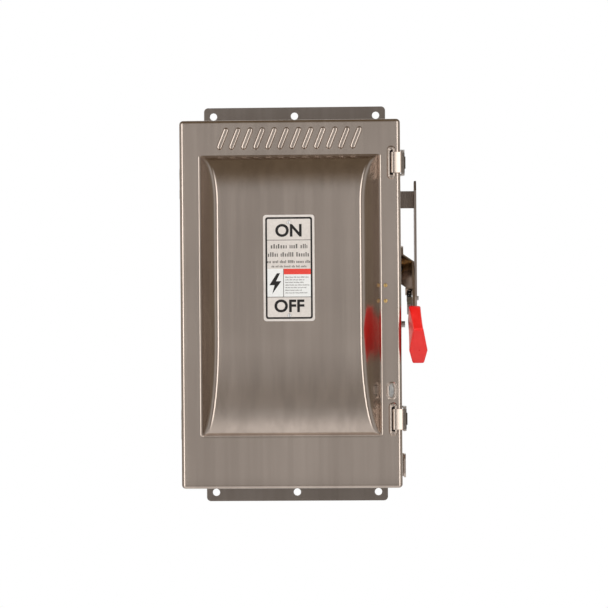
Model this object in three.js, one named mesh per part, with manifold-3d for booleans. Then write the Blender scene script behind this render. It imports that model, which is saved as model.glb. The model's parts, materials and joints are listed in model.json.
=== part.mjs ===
// An enclosed safety switch (AC disconnect) for a wall: a folded sheet box with a domed, hinged
// cover, two claw latches, a lever on the right side, and a three-pole fused knife switch inside.
// Millimetres. The origin is the middle of the mounting plate's back face, +Z is up, the front
// faces -Y and +X is the lever's side.
import * as THREE from 'three';
import { mergeVertices } from 'three/addons/utils/BufferGeometryUtils.js';
import Module from 'manifold-3d';

const wasm = await Module();
wasm.setup();

// ---------------------------------------------------------------- driving dimensions

const GAP = 0.3; // left between pieces that touch
const HOLE_PLAY = 0.3; // added to a pin's radius for its hole

const BODY = { width: 301, height: 508, front: 175, sheet: 1.6, corner: 4, rim: 14 };
const PLATE = { sheet: 3, reach: 37, sideInset: 16.5, corner: 6, hole: 5.5, holeEdge: 13, holeSide: 14 };
const DOOR = { sheet: 1.5, sideGap: 3, sealGap: 3.5, skirt: 20, bend: 5.5, corner: 7 };
const DOME = { height: 40, side: 29, above: 50.5, below: 74.5, crown: 68, flat: 20.5, inset: 24 };
const GASKET = { width: 9.5, edge: 8 };
const EMBOSS = { raise: 2.5, pad: 1, bars: 12, barWidth: 9, barPitch: 17, lean: 6 };
const EMBOSS_BAND = { height: 31, fromTop: 26 };

const NAMEPLATE = { width: 71, height: 147, sheet: 0.8, corner: 4, below: 16.5, rivetDrop: 65.5 };
const RIVET = { head: 2.4, headHeight: 0.8, shank: 1.2, length: 4 };

const HINGE = { fromEnd: 88.5, pin: 1.6, barrel: 3.2, leaf: 40, door: 14, back: 22 };
const HINGE_LEAF = { inset: 0.8, sheet: 1.6 };
const LATCH = { topDrop: 61.5, bottomRise: 96.5, claw: 29, pin: 1.5, barrel: 2.9, ear: 1.6, sheet: 1.8 };
const LATCH_PIN = { out: 3.2, back: 9 };
const LATCH_SLOT = { inset: 12.5, width: 5, height: 34, embossWidth: 10, embossHeight: 45 };
const RELEASE = { inset: 14.3, aboveLatch: 40, width: 5, height: 12, travel: 3, half: 11 };
const RELEASE_SLOT = { width: 8.4, height: 18.5, rimWidth: 13.7, rimHeight: 23 };
const HASP = { fromEnd: 26, half: 16.5, out: 2, sheet: 3, front: 112, root: 84, back: 60, bevel: 6 };
const HASP_HOLE = { radius: 4.5, y: -99 };
const BRACKET = { screw: 2.75, pitch: 21.7, middle: 14.5, inset: 22, tongue: 26, width: 8, height: 36 };

const SHAFT = { y: -73, z: 55, radius: 6 };
const HANDLE = { rest: 41, hub: 28, plate: 3.2, hubGap: 5, joggle: 15.5, joggleStart: 10, neck: 12 };
const GRIP = { root: 113, tang: 136, tangHalf: 5, end: 174.5, round: 2, widest: 0.27 };
const GUARD = { plate: 3.2, front: 52, back: 35, top: 119.5, bottom: 60, legTop: 96 };
const GUARD_LEG = { height: 25, foot: 21 };
const GUARD_RIVET = { forward: 22, drop: 48, shank: 1.5, head: 3.2 };
const SCREW = { shank: 2.7, head: 5, headHeight: 3.4, length: 7 };
const LOCK = { from: 80.5, length: 17.5, travel: 8, half: 9, hole: 4, sheet: 7.5 };
const LOCK_SPRING = { radius: 3.9, from: 60 };

const POLES = 3;
const POLE_PITCH = 60;
const BLADE = { length: 82, width: 16, sheet: 3.2, open: 55 };
const ROTOR = { half: 12, journal: 6 };
const POST = { width: 8, inset: 14, front: 16, half: 20 };
const FUSE = { length: 76, radius: 10.3, barrel: 9.8, ferrule: 14, top: 59, y: -58, strap: 38 };
const CRANK = { radius: 22, pin: 3, boss: 9, width: 4, half: 6, from: 13 };
const GROUND = { inset: 12, width: 28, rise: 39, height: 65, thick: 11, screws: 4, pitch: 15.5 };
const MECHANISM = { from: 7, width: 25, sheet: 2, below: 40, above: 12, front: 27 };
const INTERLOCK = { forward: 17, drop: 15, sheet: 2.2, back: 9 };
const TOGGLE = { reach: 60, pin: 2.5, radius: 5, from: 6, length: 34 };

// ---------------------------------------------------------------- derived places

const rad = THREE.MathUtils.degToRad;
const bodyX = BODY.width / 2;
const bodyZ = BODY.height / 2;
const bodyBack = -(PLATE.sheet + GAP);
const seat = bodyBack - BODY.sheet - GAP; // what stands on the back wall starts here
const doorX = bodyX + DOOR.sideGap + DOOR.sheet;
const doorZ = bodyZ + DOOR.sideGap + DOOR.sheet;
const doorFace = -(BODY.front + DOOR.sealGap + DOOR.sheet);
const doorInside = doorFace + DOOR.sheet;
const skirtBack = doorFace + DOOR.skirt;
const domeFace = doorFace - DOME.height;
const nameplateZ = doorZ - DOME.above - DOME.crown - NAMEPLATE.below - NAMEPLATE.height / 2;
const sweepTop = nameplateZ - NAMEPLATE.height / 2 - DOME.flat; // the sweep starts below the plate
const wallX = bodyX + GAP; // what is fixed outside the side wall starts here
const baseHalf = (POLES / 2) * POLE_PITCH + 8;
const poleX = Array.from({ length: POLES }, (_, i) => (i - (POLES - 1) / 2) * POLE_PITCH);
const postX = baseHalf - POST.inset;

// ---------------------------------------------------------------- solids from three.js geometry

function solid(geometry) {
  const bare = geometry.clone();
  bare.deleteAttribute('normal');
  bare.deleteAttribute('uv');
  const merged = mergeVertices(bare, 1e-4);
  return new wasm.Manifold(new wasm.Mesh({
    numProp: 3,
    vertProperties: new Float32Array(merged.attributes.position.array),
    triVerts: new Uint32Array(merged.index.array),
  }));
}

const join = (first, ...rest) => rest.reduce((whole, piece) => whole.add(piece), first);
const cut = (whole, ...tools) => tools.reduce((left, tool) => left.subtract(tool), whole);

function box([x0, x1], [y0, y1], [z0, z1]) {
  const geometry = new THREE.BoxGeometry(x1 - x0, y1 - y0, z1 - z0);
  geometry.translate((x0 + x1) / 2, (y0 + y1) / 2, (z0 + z1) / 2);
  return solid(geometry);
}

// An outline drawn in (y, z), (x, z) or (x, y), carried along x, y or z from one place to another.
const AXES = {
  x: [new THREE.Vector3(0, 1, 0), new THREE.Vector3(0, 0, 1), new THREE.Vector3(1, 0, 0)],
  y: [new THREE.Vector3(1, 0, 0), new THREE.Vector3(0, 0, 1), new THREE.Vector3(0, -1, 0)],
  z: [new THREE.Vector3(1, 0, 0), new THREE.Vector3(0, 1, 0), new THREE.Vector3(0, 0, 1)],
};

function prism(outline, axis, [from, to], curveSegments = 3) {
  const settings = { depth: to - from, bevelEnabled: false, curveSegments };
  const geometry = new THREE.ExtrudeGeometry(outline, settings);
  geometry.translate(0, 0, axis === 'y' ? -to : from);
  geometry.applyMatrix4(new THREE.Matrix4().makeBasis(...AXES[axis]));
  return solid(geometry);
}

function circle(u, v, radius) {
  const shape = new THREE.Shape();
  shape.absarc(u, v, radius, 0, 2 * Math.PI);
  return shape;
}

const rod = (axis, radius, span, u, v, curveSegments = 10) =>
  prism(circle(u, v, radius), axis, span, curveSegments);

function roundRect(u, v, width, height, corner) {
  const a = width / 2 - corner;
  const b = height / 2 - corner;
  const shape = new THREE.Shape();
  shape.absarc(u + a, v + b, corner, 0, Math.PI / 2);
  shape.absarc(u - a, v + b, corner, Math.PI / 2, Math.PI);
  shape.absarc(u - a, v - b, corner, Math.PI, 1.5 * Math.PI);
  shape.absarc(u + a, v - b, corner, 1.5 * Math.PI, 2 * Math.PI);
  return shape;
}

// A slot's ends are whole half circles; a sliver of straight is kept so that no two points meet.
const slot = (u, v, width, height) => roundRect(u, v, width, height, Math.min(width, height) / 2 - 0.01);

const polygon = (points) => new THREE.Shape(points.map(([u, v]) => new THREE.Vector2(u, v)));

// A closed skin over rings with the same number of points. Each ring runs right-handed about the
// direction in which the rings follow each other, and the first and last are closed by flat caps.
function loft(rings) {
  const count = rings[0].length;
  const last = (rings.length - 1) * count;
  const faces = [];
  for (let r = 0; r < rings.length - 1; r += 1) {
    for (let i = 0; i < count; i += 1) {
      const a = r * count + i;
      const b = r * count + ((i + 1) % count);
      faces.push(a, b, b + count, a, b + count, a + count);
    }
  }
  for (let i = 1; i < count - 1; i += 1) faces.push(0, i + 1, i, last, last + i, last + i + 1);
  const geometry = new THREE.BufferGeometry();
  geometry.setAttribute('position', new THREE.Float32BufferAttribute(rings.flat(2), 3));
  geometry.setIndex(faces);
  return solid(geometry);
}

// ---------------------------------------------------------------- finishes

const metal = (color, roughness) => new THREE.MeshStandardMaterial({ color, roughness, metalness: 1 });
const moulded = (color, roughness) => new THREE.MeshStandardMaterial({ color, roughness, metalness: 0 });
const FINISH = {
  stainless: metal(0x9a8f84, 0.38),
  zinc: metal(0x9aa0a4, 0.45),
  darkSteel: metal(0x46474a, 0.5),
  brass: metal(0xb58a45, 0.35),
  copper: metal(0xb06a45, 0.35),
  aluminium: metal(0xb9bcbf, 0.4),
  springSteel: metal(0x2b2b2d, 0.4),
  redPlastic: moulded(0xd82a24, 0.35),
  blackRubber: moulded(0x17181a, 0.8),
  blackMoulded: moulded(0x1d1d1f, 0.55),
  redMoulded: moulded(0x6a1f1a, 0.6),
  fuseTube: moulded(0xcfc7ae, 0.7),
  clearShield: moulded(0xd8d6cc, 0.4),
  plate: moulded(0xd9d5cb, 0.45),
};

const assembly = new THREE.Group();

function piece(name, shape, finish, parent = assembly) {
  const { vertProperties, triVerts } = shape.getMesh();
  const geometry = new THREE.BufferGeometry();
  geometry.setAttribute('position', new THREE.BufferAttribute(vertProperties, 3));
  geometry.setIndex(new THREE.BufferAttribute(triVerts, 1));
  const flat = geometry.toNonIndexed();
  flat.computeVertexNormals();
  const mesh = new THREE.Mesh(flat, finish);
  mesh.name = name;
  parent.add(mesh);
}

function place(x, y, z, turn = 0, parent = assembly) {
  const group = new THREE.Group();
  group.position.set(x, y, z);
  group.rotation.x = turn;
  parent.add(group);
  return group;
}

// ---------------------------------------------------------------- enclosure

const guardZ = SHAFT.z + GUARD.legTop;
const guardLegs = [guardZ, SHAFT.z - GUARD_LEG.height / 2];
const guardScrewY = SHAFT.y + GUARD.back + GUARD_LEG.foot / 2 + 2;
const stud = { y: SHAFT.y - 37, z: SHAFT.z - 85, radius: 4.5, shank: 3, length: 9.7 };
const bushing = { outer: 9, flange: 13, flangeSheet: 2.8, inside: 3.5 };

function mountingPlate() {
  const width = BODY.width - 2 * PLATE.sideInset;
  const height = BODY.height + 2 * PLATE.reach;
  const outline = roundRect(0, 0, width, height, PLATE.corner);
  for (const x of [-1, 0, 1]) {
    for (const z of [-1, 1]) {
      const u = x * (width / 2 - PLATE.holeSide);
      outline.holes.push(circle(u, z * (height / 2 - PLATE.holeEdge), PLATE.hole));
    }
  }
  piece('mounting_plate', prism(outline, 'y', [-PLATE.sheet, 0], 6), FINISH.stainless);
}

function bodyPan() {
  const { width, height, sheet, corner, rim, front } = BODY;
  const inner = (less) => roundRect(0, 0, width - 2 * less, height - 2 * less, Math.max(corner - less, 1));
  const shell = cut(
    prism(roundRect(0, 0, width, height, corner), 'y', [-front, bodyBack]),
    prism(inner(sheet), 'y', [-front + sheet, bodyBack - sheet]),
    prism(inner(rim), 'y', [-front - 1, -front + sheet + 1]),
  );
  const wall = [bodyX - sheet - 1, bodyX + 1];
  const holes = [rod('x', bushing.outer + HOLE_PLAY, wall, SHAFT.y, SHAFT.z)];
  for (const z of guardLegs) holes.push(rod('x', SCREW.shank + HOLE_PLAY, wall, guardScrewY, z, 6));
  holes.push(rod('x', stud.shank + HOLE_PLAY, wall, stud.y, stud.z, 6));
  piece('body_pan', cut(shell, ...holes), FINISH.stainless);
}

// The folded pan of the cover: a skirt, then a quarter-round bend, then the flat face. "less" is
// how far the surface lies inside the outer one.
function doorPan(less, back) {
  const bend = DOOR.bend - less;
  const steps = 4;
  const ring = (inset, y) => {
    const in2 = less + inset;
    const shape = roundRect(0, 0, 2 * (doorX - in2), 2 * (doorZ - in2), DOOR.corner - in2);
    const points = shape.extractPoints(2).shape;
    return points.map((p) => [p.x, y, p.y]);
  };
  const rings = [ring(0, back)];
  for (let i = 0; i <= steps; i += 1) {
    const angle = (i / steps) * (Math.PI / 2);
    rings.push(ring(bend * (1 - Math.cos(angle)), doorFace + less + bend * (1 - Math.sin(angle))));
  }
  return loft(rings);
}

// The drawn dome: a trapezoid in plan, whose depth follows a quarter ellipse at the top and a
// longer quarter ellipse at the bottom, with a straight run between them.
function dome(less) {
  const half = doorX - DOME.side - less;
  const top = doorZ - DOME.above - less;
  const bottom = -doorZ + DOME.below + less;
  const crown = DOME.crown - less;
  const sweep = sweepTop - bottom;
  const base = doorFace + less + 1;
  const steps = 9;
  const section = (z, depth) => {
    const lean = DOME.inset * (depth / DOME.height);
    const y = doorFace + less - depth;
    return [[half, base, z], [-half, base, z], [-half + lean, y, z], [half - lean, y, z]];
  };
  const rings = [];
  for (let i = 0; i <= steps; i += 1) {
    const angle = (i / steps) * (Math.PI / 2);
    rings.push(section(bottom + sweep * (1 - Math.cos(angle)), DOME.height * Math.sin(angle)));
  }
  for (let i = steps; i >= 0; i -= 1) {
    const angle = (i / steps) * (Math.PI / 2);
    rings.push(section(top - crown * (1 - Math.cos(angle)), DOME.height * Math.sin(angle)));
  }
  return loft(rings);
}

const hingeZ = doorZ - HINGE.fromEnd;
const hingeX = -doorX + HINGE_LEAF.inset;
const hingeY = skirtBack + HINGE.barrel + HOLE_PLAY + 3.5;
const latchZ = { upper: doorZ - LATCH.topDrop, lower: -doorZ + LATCH.bottomRise };
const slotX = doorX - LATCH_SLOT.inset;
const releaseX = doorX - RELEASE.inset;
const releaseZ = latchZ.lower + RELEASE.aboveLatch;
const bracketZ = [BRACKET.middle + BRACKET.pitch / 2, BRACKET.middle - BRACKET.pitch / 2];
const bracketX = doorX - BRACKET.inset;
const rivetZ = { upper: nameplateZ + NAMEPLATE.rivetDrop - 2.5, lower: nameplateZ - NAMEPLATE.rivetDrop };

function door() {
  const raised = [];
  const hollows = [];
  const holes = [];
  const through = [doorFace - 9, doorInside + 1];
  for (const z of Object.values(latchZ)) {
    const { embossWidth: w, embossHeight: h } = LATCH_SLOT;
    const s = DOOR.sheet;
    const top = doorFace - EMBOSS.raise;
    raised.push(prism(slot(slotX, z, w, h), 'y', [top, doorInside]));
    hollows.push(prism(slot(slotX, z, w - 2 * s, h - 2 * s), 'y', [top + s, doorInside + 1]));
    holes.push(prism(slot(slotX, z, LATCH_SLOT.width, LATCH_SLOT.height), 'y', through));
  }
  const oval = (w, h, span) => prism(slot(releaseX, releaseZ, w, h), 'y', span, 6);
  raised.push(oval(RELEASE_SLOT.rimWidth, RELEASE_SLOT.rimHeight, [doorFace - 1, doorInside]));
  holes.push(oval(RELEASE_SLOT.width, RELEASE_SLOT.height, through));
  for (const z of bracketZ) holes.push(rod('y', BRACKET.screw + HOLE_PLAY, through, bracketX, z, 6));
  for (const z of Object.values(rivetZ)) {
    holes.push(rod('y', RIVET.shank + HOLE_PLAY, [domeFace - 1, domeFace + DOOR.sheet + 1], 0, z, 4));
  }
  const barTop = doorZ - EMBOSS_BAND.fromTop + EMBOSS_BAND.height / 2;
  const barBottom = barTop - EMBOSS_BAND.height;
  for (let i = 0; i < EMBOSS.bars; i += 1) {
    const x = (i - (EMBOSS.bars - 1) / 2) * EMBOSS.barPitch - EMBOSS.barWidth / 2;
    const w = EMBOSS.barWidth;
    const bar = polygon([
      [x - EMBOSS.lean, barBottom], [x + w - EMBOSS.lean, barBottom],
      [x + w + EMBOSS.lean, barTop], [x + EMBOSS.lean, barTop],
    ]);
    raised.push(prism(bar, 'y', [doorFace - EMBOSS.pad, doorFace + DOOR.sheet / 2]));
  }
  const knuckles = [];
  for (const z of [hingeZ, -hingeZ]) {
    const span = [z - HINGE.door / 2, z + HINGE.door / 2];
    knuckles.push(rod('z', HINGE.barrel, span, hingeX, hingeY, 8));
    knuckles.push(box([-doorX, -doorX + DOOR.sheet], [skirtBack - 1, hingeY], span));
    holes.push(rod('z', HINGE.pin + HOLE_PLAY, [span[0] - 1, span[1] + 1], hingeX, hingeY, 8));
  }
  const outside = join(doorPan(0, skirtBack), dome(0), ...raised);
  const shell = cut(outside, doorPan(DOOR.sheet, skirtBack + 1), dome(DOOR.sheet));
  piece('door', cut(join(shell, ...knuckles), ...hollows, ...holes), FINISH.stainless);
}

function gasket() {
  const outer = roundRect(0, 0, 2 * (doorX - GASKET.edge), 2 * (doorZ - GASKET.edge), 4);
  const less = GASKET.edge + GASKET.width;
  const releaseSpan = RELEASE.half + RELEASE.travel + 1;
  outer.holes.push(roundRect(0, 0, 2 * (doorX - less), 2 * (doorZ - less), 2));
  const notch = box(
    [doorX - GASKET.edge - GASKET.width - 1, releaseX + RELEASE_SLOT.width / 2 + GAP],
    [doorInside, -BODY.front],
    [releaseZ - releaseSpan, releaseZ + releaseSpan],
  );
  const ring = prism(outer, 'y', [doorInside + GAP, -BODY.front - GAP], 2);
  piece('door_gasket', cut(ring, notch), FINISH.blackRubber);
}

function nameplate() {
  const back = domeFace - GAP;
  const outline = roundRect(0, nameplateZ, NAMEPLATE.width, NAMEPLATE.height, NAMEPLATE.corner);
  for (const z of Object.values(rivetZ)) outline.holes.push(circle(0, z, RIVET.shank + HOLE_PLAY));
  piece('nameplate', prism(outline, 'y', [back - NAMEPLATE.sheet, back], 4), FINISH.plate);
  for (const [where, z] of Object.entries(rivetZ)) {
    const under = back - NAMEPLATE.sheet - GAP;
    const rivet = join(
      rod('y', RIVET.head, [under - RIVET.headHeight, under], 0, z, 7),
      rod('y', RIVET.shank, [under - RIVET.headHeight / 2, under + RIVET.length], 0, z, 4),
    );
    piece(`nameplate_rivet_${where}`, rivet, FINISH.aluminium);
  }
}

// ---------------------------------------------------------------- hinges and latches

function hinge(where, z) {
  const half = HINGE.leaf / 2;
  const doorHalf = HINGE.door / 2 + GAP;
  const outer = -wallX - HINGE_LEAF.sheet;
  const leaf = join(
    box([outer, -wallX], [hingeY - HINGE.barrel, hingeY + HINGE.back], [z - half, z + half]),
    rod('z', HINGE.barrel, [z - half, z + half], hingeX, hingeY, 8),
    box([hingeX, -wallX], [hingeY + HINGE.barrel - 1.2, hingeY + HINGE.barrel], [z - half, z + half]),
  );
  const gapForDoor = box(
    [-doorX - 5, hingeX + HINGE.barrel + 0.5],
    [hingeY - 8, hingeY + 6],
    [z - doorHalf, z + doorHalf],
  );
  const pinHole = rod('z', HINGE.pin + HOLE_PLAY, [z - half - 1, z + half + 1], hingeX, hingeY, 8);
  piece(`hinge_leaf_${where}`, cut(leaf, gapForDoor, pinHole), FINISH.stainless);
  const pin = join(
    rod('z', HINGE.pin, [z - half - 1, z + half + GAP], hingeX, hingeY, 8),
    rod('z', HINGE.barrel, [z + half + GAP, z + half + 2], hingeX, hingeY, 8),
  );
  piece(`hinge_pin_${where}`, pin, FINISH.zinc);
}

const latchX = doorX + LATCH_PIN.out;
const latchY = doorFace + LATCH_PIN.back;

function latch(where, z) {
  const half = LATCH.claw / 2;
  const earIn = z + half + 0.5;
  const earOut = earIn + LATCH.ear;
  const base = [skirtBack + 2.5, skirtBack + 35];
  const clearX = doorX + 0.8;
  const ear = polygon([
    [wallX, base[0]], [clearX, base[0]], [clearX, latchY - 3], [latchX + 2.9, latchY - 3],
    [latchX + 2.9, skirtBack + 20], [clearX, base[1]], [wallX, base[1]],
  ]);
  const mirrored = (a, b) => [2 * z - b, 2 * z - a];
  const bracket = join(
    prism(ear, 'z', [earIn, earOut]),
    prism(ear, 'z', mirrored(earIn, earOut)),
    box([wallX, wallX + LATCH.ear], base, mirrored(2 * z - earOut, earOut)),
  );
  const pinHole = rod('z', LATCH.pin + HOLE_PLAY, [z - 30, z + 30], latchX, latchY, 8);
  piece(`latch_bracket_${where}`, cut(bracket, pinHole), FINISH.stainless);

  const reach = earOut - z;
  const pin = join(
    rod('z', LATCH.pin, [z - reach - 0.8, z + reach + GAP], latchX, latchY, 8),
    rod('z', LATCH.barrel, [z + reach + GAP, z + reach + 1.5], latchX, latchY, 8),
  );
  piece(`latch_pin_${where}`, pin, FINISH.zinc);

  // The claw is drawn about its own pin. Its hook runs over the cover's edge and down into the slot.
  const claw = place(latchX, latchY, z);
  const bridge = doorFace - EMBOSS.raise - 1.9 - latchY;
  const tip = slotX - latchX;
  const span = [-half, half];
  const s = LATCH.sheet;
  const hook = join(
    rod('z', LATCH.barrel, span, 0, 0, 8),
    box([-2.3, -2.3 + s], [bridge - s, 0], span),
    box([tip - s / 2, -2.3 + s], [bridge - s, bridge], span),
    box([tip - s / 2, tip + s / 2], [bridge - s, doorFace + 0.2 - latchY], span),
    box([0, 4.2], [-s / 2, s / 2], [-half + 6, half - 6]),
  );
  const bore = rod('z', LATCH.pin + HOLE_PLAY, [-half - 1, half + 1], 0, 0, 8);
  piece(`latch_claw_${where}`, cut(hook, bore), FINISH.stainless, claw);
}

function padlockHasp() {
  const { half, sheet, front, root, back, bevel } = HASP;
  const z = -doorZ + HASP.fromEnd;
  const span = [z - half, z + half];
  const out = doorX + HASP.out;
  const tab = polygon([
    [-front, span[0] + bevel], [-front + bevel, span[0]], [-root, span[0]],
    [-root, span[1]], [-front + bevel, span[1]], [-front, span[1] - bevel],
  ]);
  const hasp = join(
    prism(tab, 'x', [out, out + sheet]),
    box([wallX, out + sheet], [-root, -root + sheet], span),
    box([wallX, wallX + 2], [-root + 2, -back], span),
  );
  const hole = rod('x', HASP_HOLE.radius, [out - 1, out + sheet + 1], HASP_HOLE.y, z);
  piece('padlock_hasp', cut(hasp, hole), FINISH.stainless);
}

// ---------------------------------------------------------------- cover's own fittings

function interlockRelease() {
  const face = doorFace - 0.6;
  const button = join(
    prism(slot(releaseX, releaseZ, RELEASE.width, RELEASE.height), 'y', [face, doorInside + 1], 6),
    box(
      [releaseX - 6, releaseX + 1],
      [doorInside + GAP, doorInside + 1.5],
      [releaseZ - RELEASE.half, releaseZ + RELEASE.half],
    ),
  );
  piece('interlock_release', button, FINISH.zinc);
}

function doorBracket() {
  const back = doorInside + GAP;
  const base = [back, back + 2];
  const x = bracketX - BRACKET.width / 2;
  const span = [BRACKET.middle - BRACKET.height / 2, BRACKET.middle + BRACKET.height / 2];
  const bracket = join(
    box([x, x + BRACKET.width], base, span),
    box([x + 2.5, x + 5], [back, back + BRACKET.tongue], [span[0] + 7, span[1] - 7]),
  );
  const through = [back - 1, back + 3];
  const holes = bracketZ.map((z) => rod('y', BRACKET.screw + HOLE_PLAY, through, bracketX, z, 6));
  const catchHole = rod('x', 3.5, [x + 1, x + 6], back + BRACKET.tongue - 8, BRACKET.middle, 6);
  piece('door_interlock_bracket', cut(bracket, ...holes, catchHole), FINISH.zinc);
  for (const [where, z] of [['upper', bracketZ[0]], ['lower', bracketZ[1]]]) {
    const end = rod('y', BRACKET.screw, [doorFace - 0.9, back + 2.6], bracketX, z, 7);
    piece(`bracket_screw_${where}`, end, FINISH.brass);
  }
}

// ---------------------------------------------------------------- lever on the side

// The lever is drawn pointing straight forward (-Y) from its shaft, and its group tips it down to
// where it rests with the switch off. "out" is measured from the side wall's outer face.
const lever = place(0, SHAFT.y, SHAFT.z, rad(HANDLE.rest));
const hubX = bodyX + HANDLE.hubGap;
const armX = hubX + HANDLE.joggle;
const armEnd = armX + HANDLE.plate;

function handleArm() {
  const { hub, plate, joggle, joggleStart, neck } = HANDLE;
  const hubPlate = prism(circle(0, 0, hub), 'x', [hubX, hubX + plate], 10);
  const joggleEnd = -joggleStart - joggle;
  const web = polygon([
    [hubX, -joggleStart], [hubX + plate, -joggleStart + 1.3], [armEnd, joggleEnd],
    [armEnd, joggleEnd - 3], [armX, joggleEnd - 3], [armX, joggleEnd - 1.3],
  ]);
  const blank = polygon([
    [joggleEnd, -hub], [joggleEnd, hub], [-48, hub - 5], [-GRIP.root + 4, neck], [-GRIP.root, neck],
    [-GRIP.root, GRIP.tangHalf], [-GRIP.tang, GRIP.tangHalf], [-GRIP.tang, -GRIP.tangHalf],
    [-GRIP.root, -GRIP.tangHalf], [-GRIP.root, -neck], [-GRIP.root + 4, -neck], [-48, -hub + 5],
  ]);
  const inFront = box([hubX - 1, hubX + plate + 1], [-hub - 1, -joggleStart], [-hub - 1, hub + 1]);
  const lug = box([armX - 10, armX + 1], [-LOCK_SPRING.from + GAP, -LOCK_SPRING.from + 3], [-6, 6]);
  const arm = join(
    cut(hubPlate, inFront),
    prism(web, 'z', [-hub, hub]),
    prism(blank, 'x', [armX, armEnd]),
    lug,
  );
  const bore = rod('x', SHAFT.radius + GAP, [hubX - 1, armEnd + 1], 0, 0);
  const lockHoleY = -LOCK.from - LOCK.length / 2 + LOCK.travel;
  const lockHole = rod('x', LOCK.hole, [armX - 1, armEnd + 1], lockHoleY, 0, 7);
  piece('handle_arm', cut(arm, bore, lockHole), FINISH.stainless, lever);
}

// The grip is a six-sided paddle that widens towards its end. Each station gives the distance from
// the shaft, the middle out from the arm's face, the half height, and the half widths at the top
// edge, at the widest line and at the bottom edge.
function handleGrip() {
  const { root, end, round, widest } = GRIP;
  const stations = [
    [root, 2.7, 21, 8, 9.5, 7.5],
    [end, 7, 32, 6.75, 12.8, 8],
    [end + round, 7, 32 - round, 6.75 - round, 12.8 - round, 8 - round],
  ];
  const rings = stations.map(([s, out, high, atTop, atWidest, atBottom]) => [
    [atWidest, -widest * high], [atTop, high], [-atTop, high],
    [-atWidest, -widest * high], [-atBottom, -high], [atBottom, -high],
  ].map(([across, up]) => [armX + out + across, -s, up]));
  const pocket = box(
    [armX - GAP, armEnd + GAP],
    [-GRIP.tang - GAP, -root + 10],
    [-GRIP.tangHalf - GAP, GRIP.tangHalf + GAP],
  );
  const shoulder = box([armX - 20, armEnd + 20], [-root - GAP, -root + 10], [-40, 40]);
  piece('handle_grip', cut(loft(rings), pocket, shoulder), FINISH.redPlastic, lever);
}

function lockPlate() {
  const inner = armX - GAP;
  const along = [-LOCK.from - LOCK.length, -LOCK.from];
  const plate = box([inner - LOCK.sheet, inner], along, [-LOCK.half, LOCK.half]);
  const hole = rod('x', LOCK.hole, [inner - LOCK.sheet - 1, inner + 1], -LOCK.from - LOCK.length / 2, 0, 7);
  piece('lock_plate', cut(plate, hole), FINISH.zinc, lever);
  const springX = armX - LOCK_SPRING.radius - 0.6;
  const span = [-LOCK.from + GAP, -LOCK_SPRING.from];
  piece('lock_plate_spring', rod('y', LOCK_SPRING.radius, span, springX, 0, 7), FINISH.springSteel, lever);
}

const shaftIn = postX + POST.width / 2 + 7; // clear of the rotor's journal

function shaft() {
  const bar = join(
    rod('x', SHAFT.radius, [shaftIn, hubX + HANDLE.plate + 0.5], 0, 0),
    rod('x', SHAFT.radius + 1.6, [hubX + HANDLE.plate + GAP, hubX + HANDLE.plate + 2], 0, 0),
  );
  piece('handle_shaft', bar, FINISH.zinc, lever);
  const x = shaftIn + CRANK.from;
  const slab = polygon([
    [-CRANK.half, -CRANK.boss], [CRANK.half, -CRANK.boss],
    [CRANK.half, CRANK.radius + 5], [-CRANK.half, CRANK.radius + 5],
  ]);
  const crank = join(
    prism(slab, 'x', [x, x + CRANK.width]),
    rod('x', CRANK.boss, [x, x + CRANK.width], 0, 0),
    rod('x', CRANK.pin, [x + 1, x + CRANK.width + 9], 0, CRANK.radius, 8),
  );
  const bore = rod('x', SHAFT.radius + GAP, [x - 1, x + 9], 0, 0);
  piece('drive_crank', cut(crank, bore), FINISH.darkSteel, lever);
}

function shaftBearing() {
  const { outer, flange, flangeSheet, inside } = bushing;
  const sleeve = join(
    rod('x', outer, [bodyX - BODY.sheet - inside, wallX + 1], SHAFT.y, SHAFT.z),
    rod('x', flange, [wallX, wallX + flangeSheet], SHAFT.y, SHAFT.z, 12),
  );
  const bore = rod('x', SHAFT.radius + GAP, [bodyX - 20, wallX + 9], SHAFT.y, SHAFT.z);
  piece('shaft_bushing', cut(sleeve, bore), FINISH.brass);
  const ring = circle(SHAFT.y, SHAFT.z, flange - 2);
  ring.holes.push(circle(SHAFT.y, SHAFT.z, SHAFT.radius + GAP));
  const from = wallX + flangeSheet + GAP;
  piece('shaft_seal', prism(ring, 'x', [from, hubX - GAP], 8), FINISH.blackRubber);
}

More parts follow.
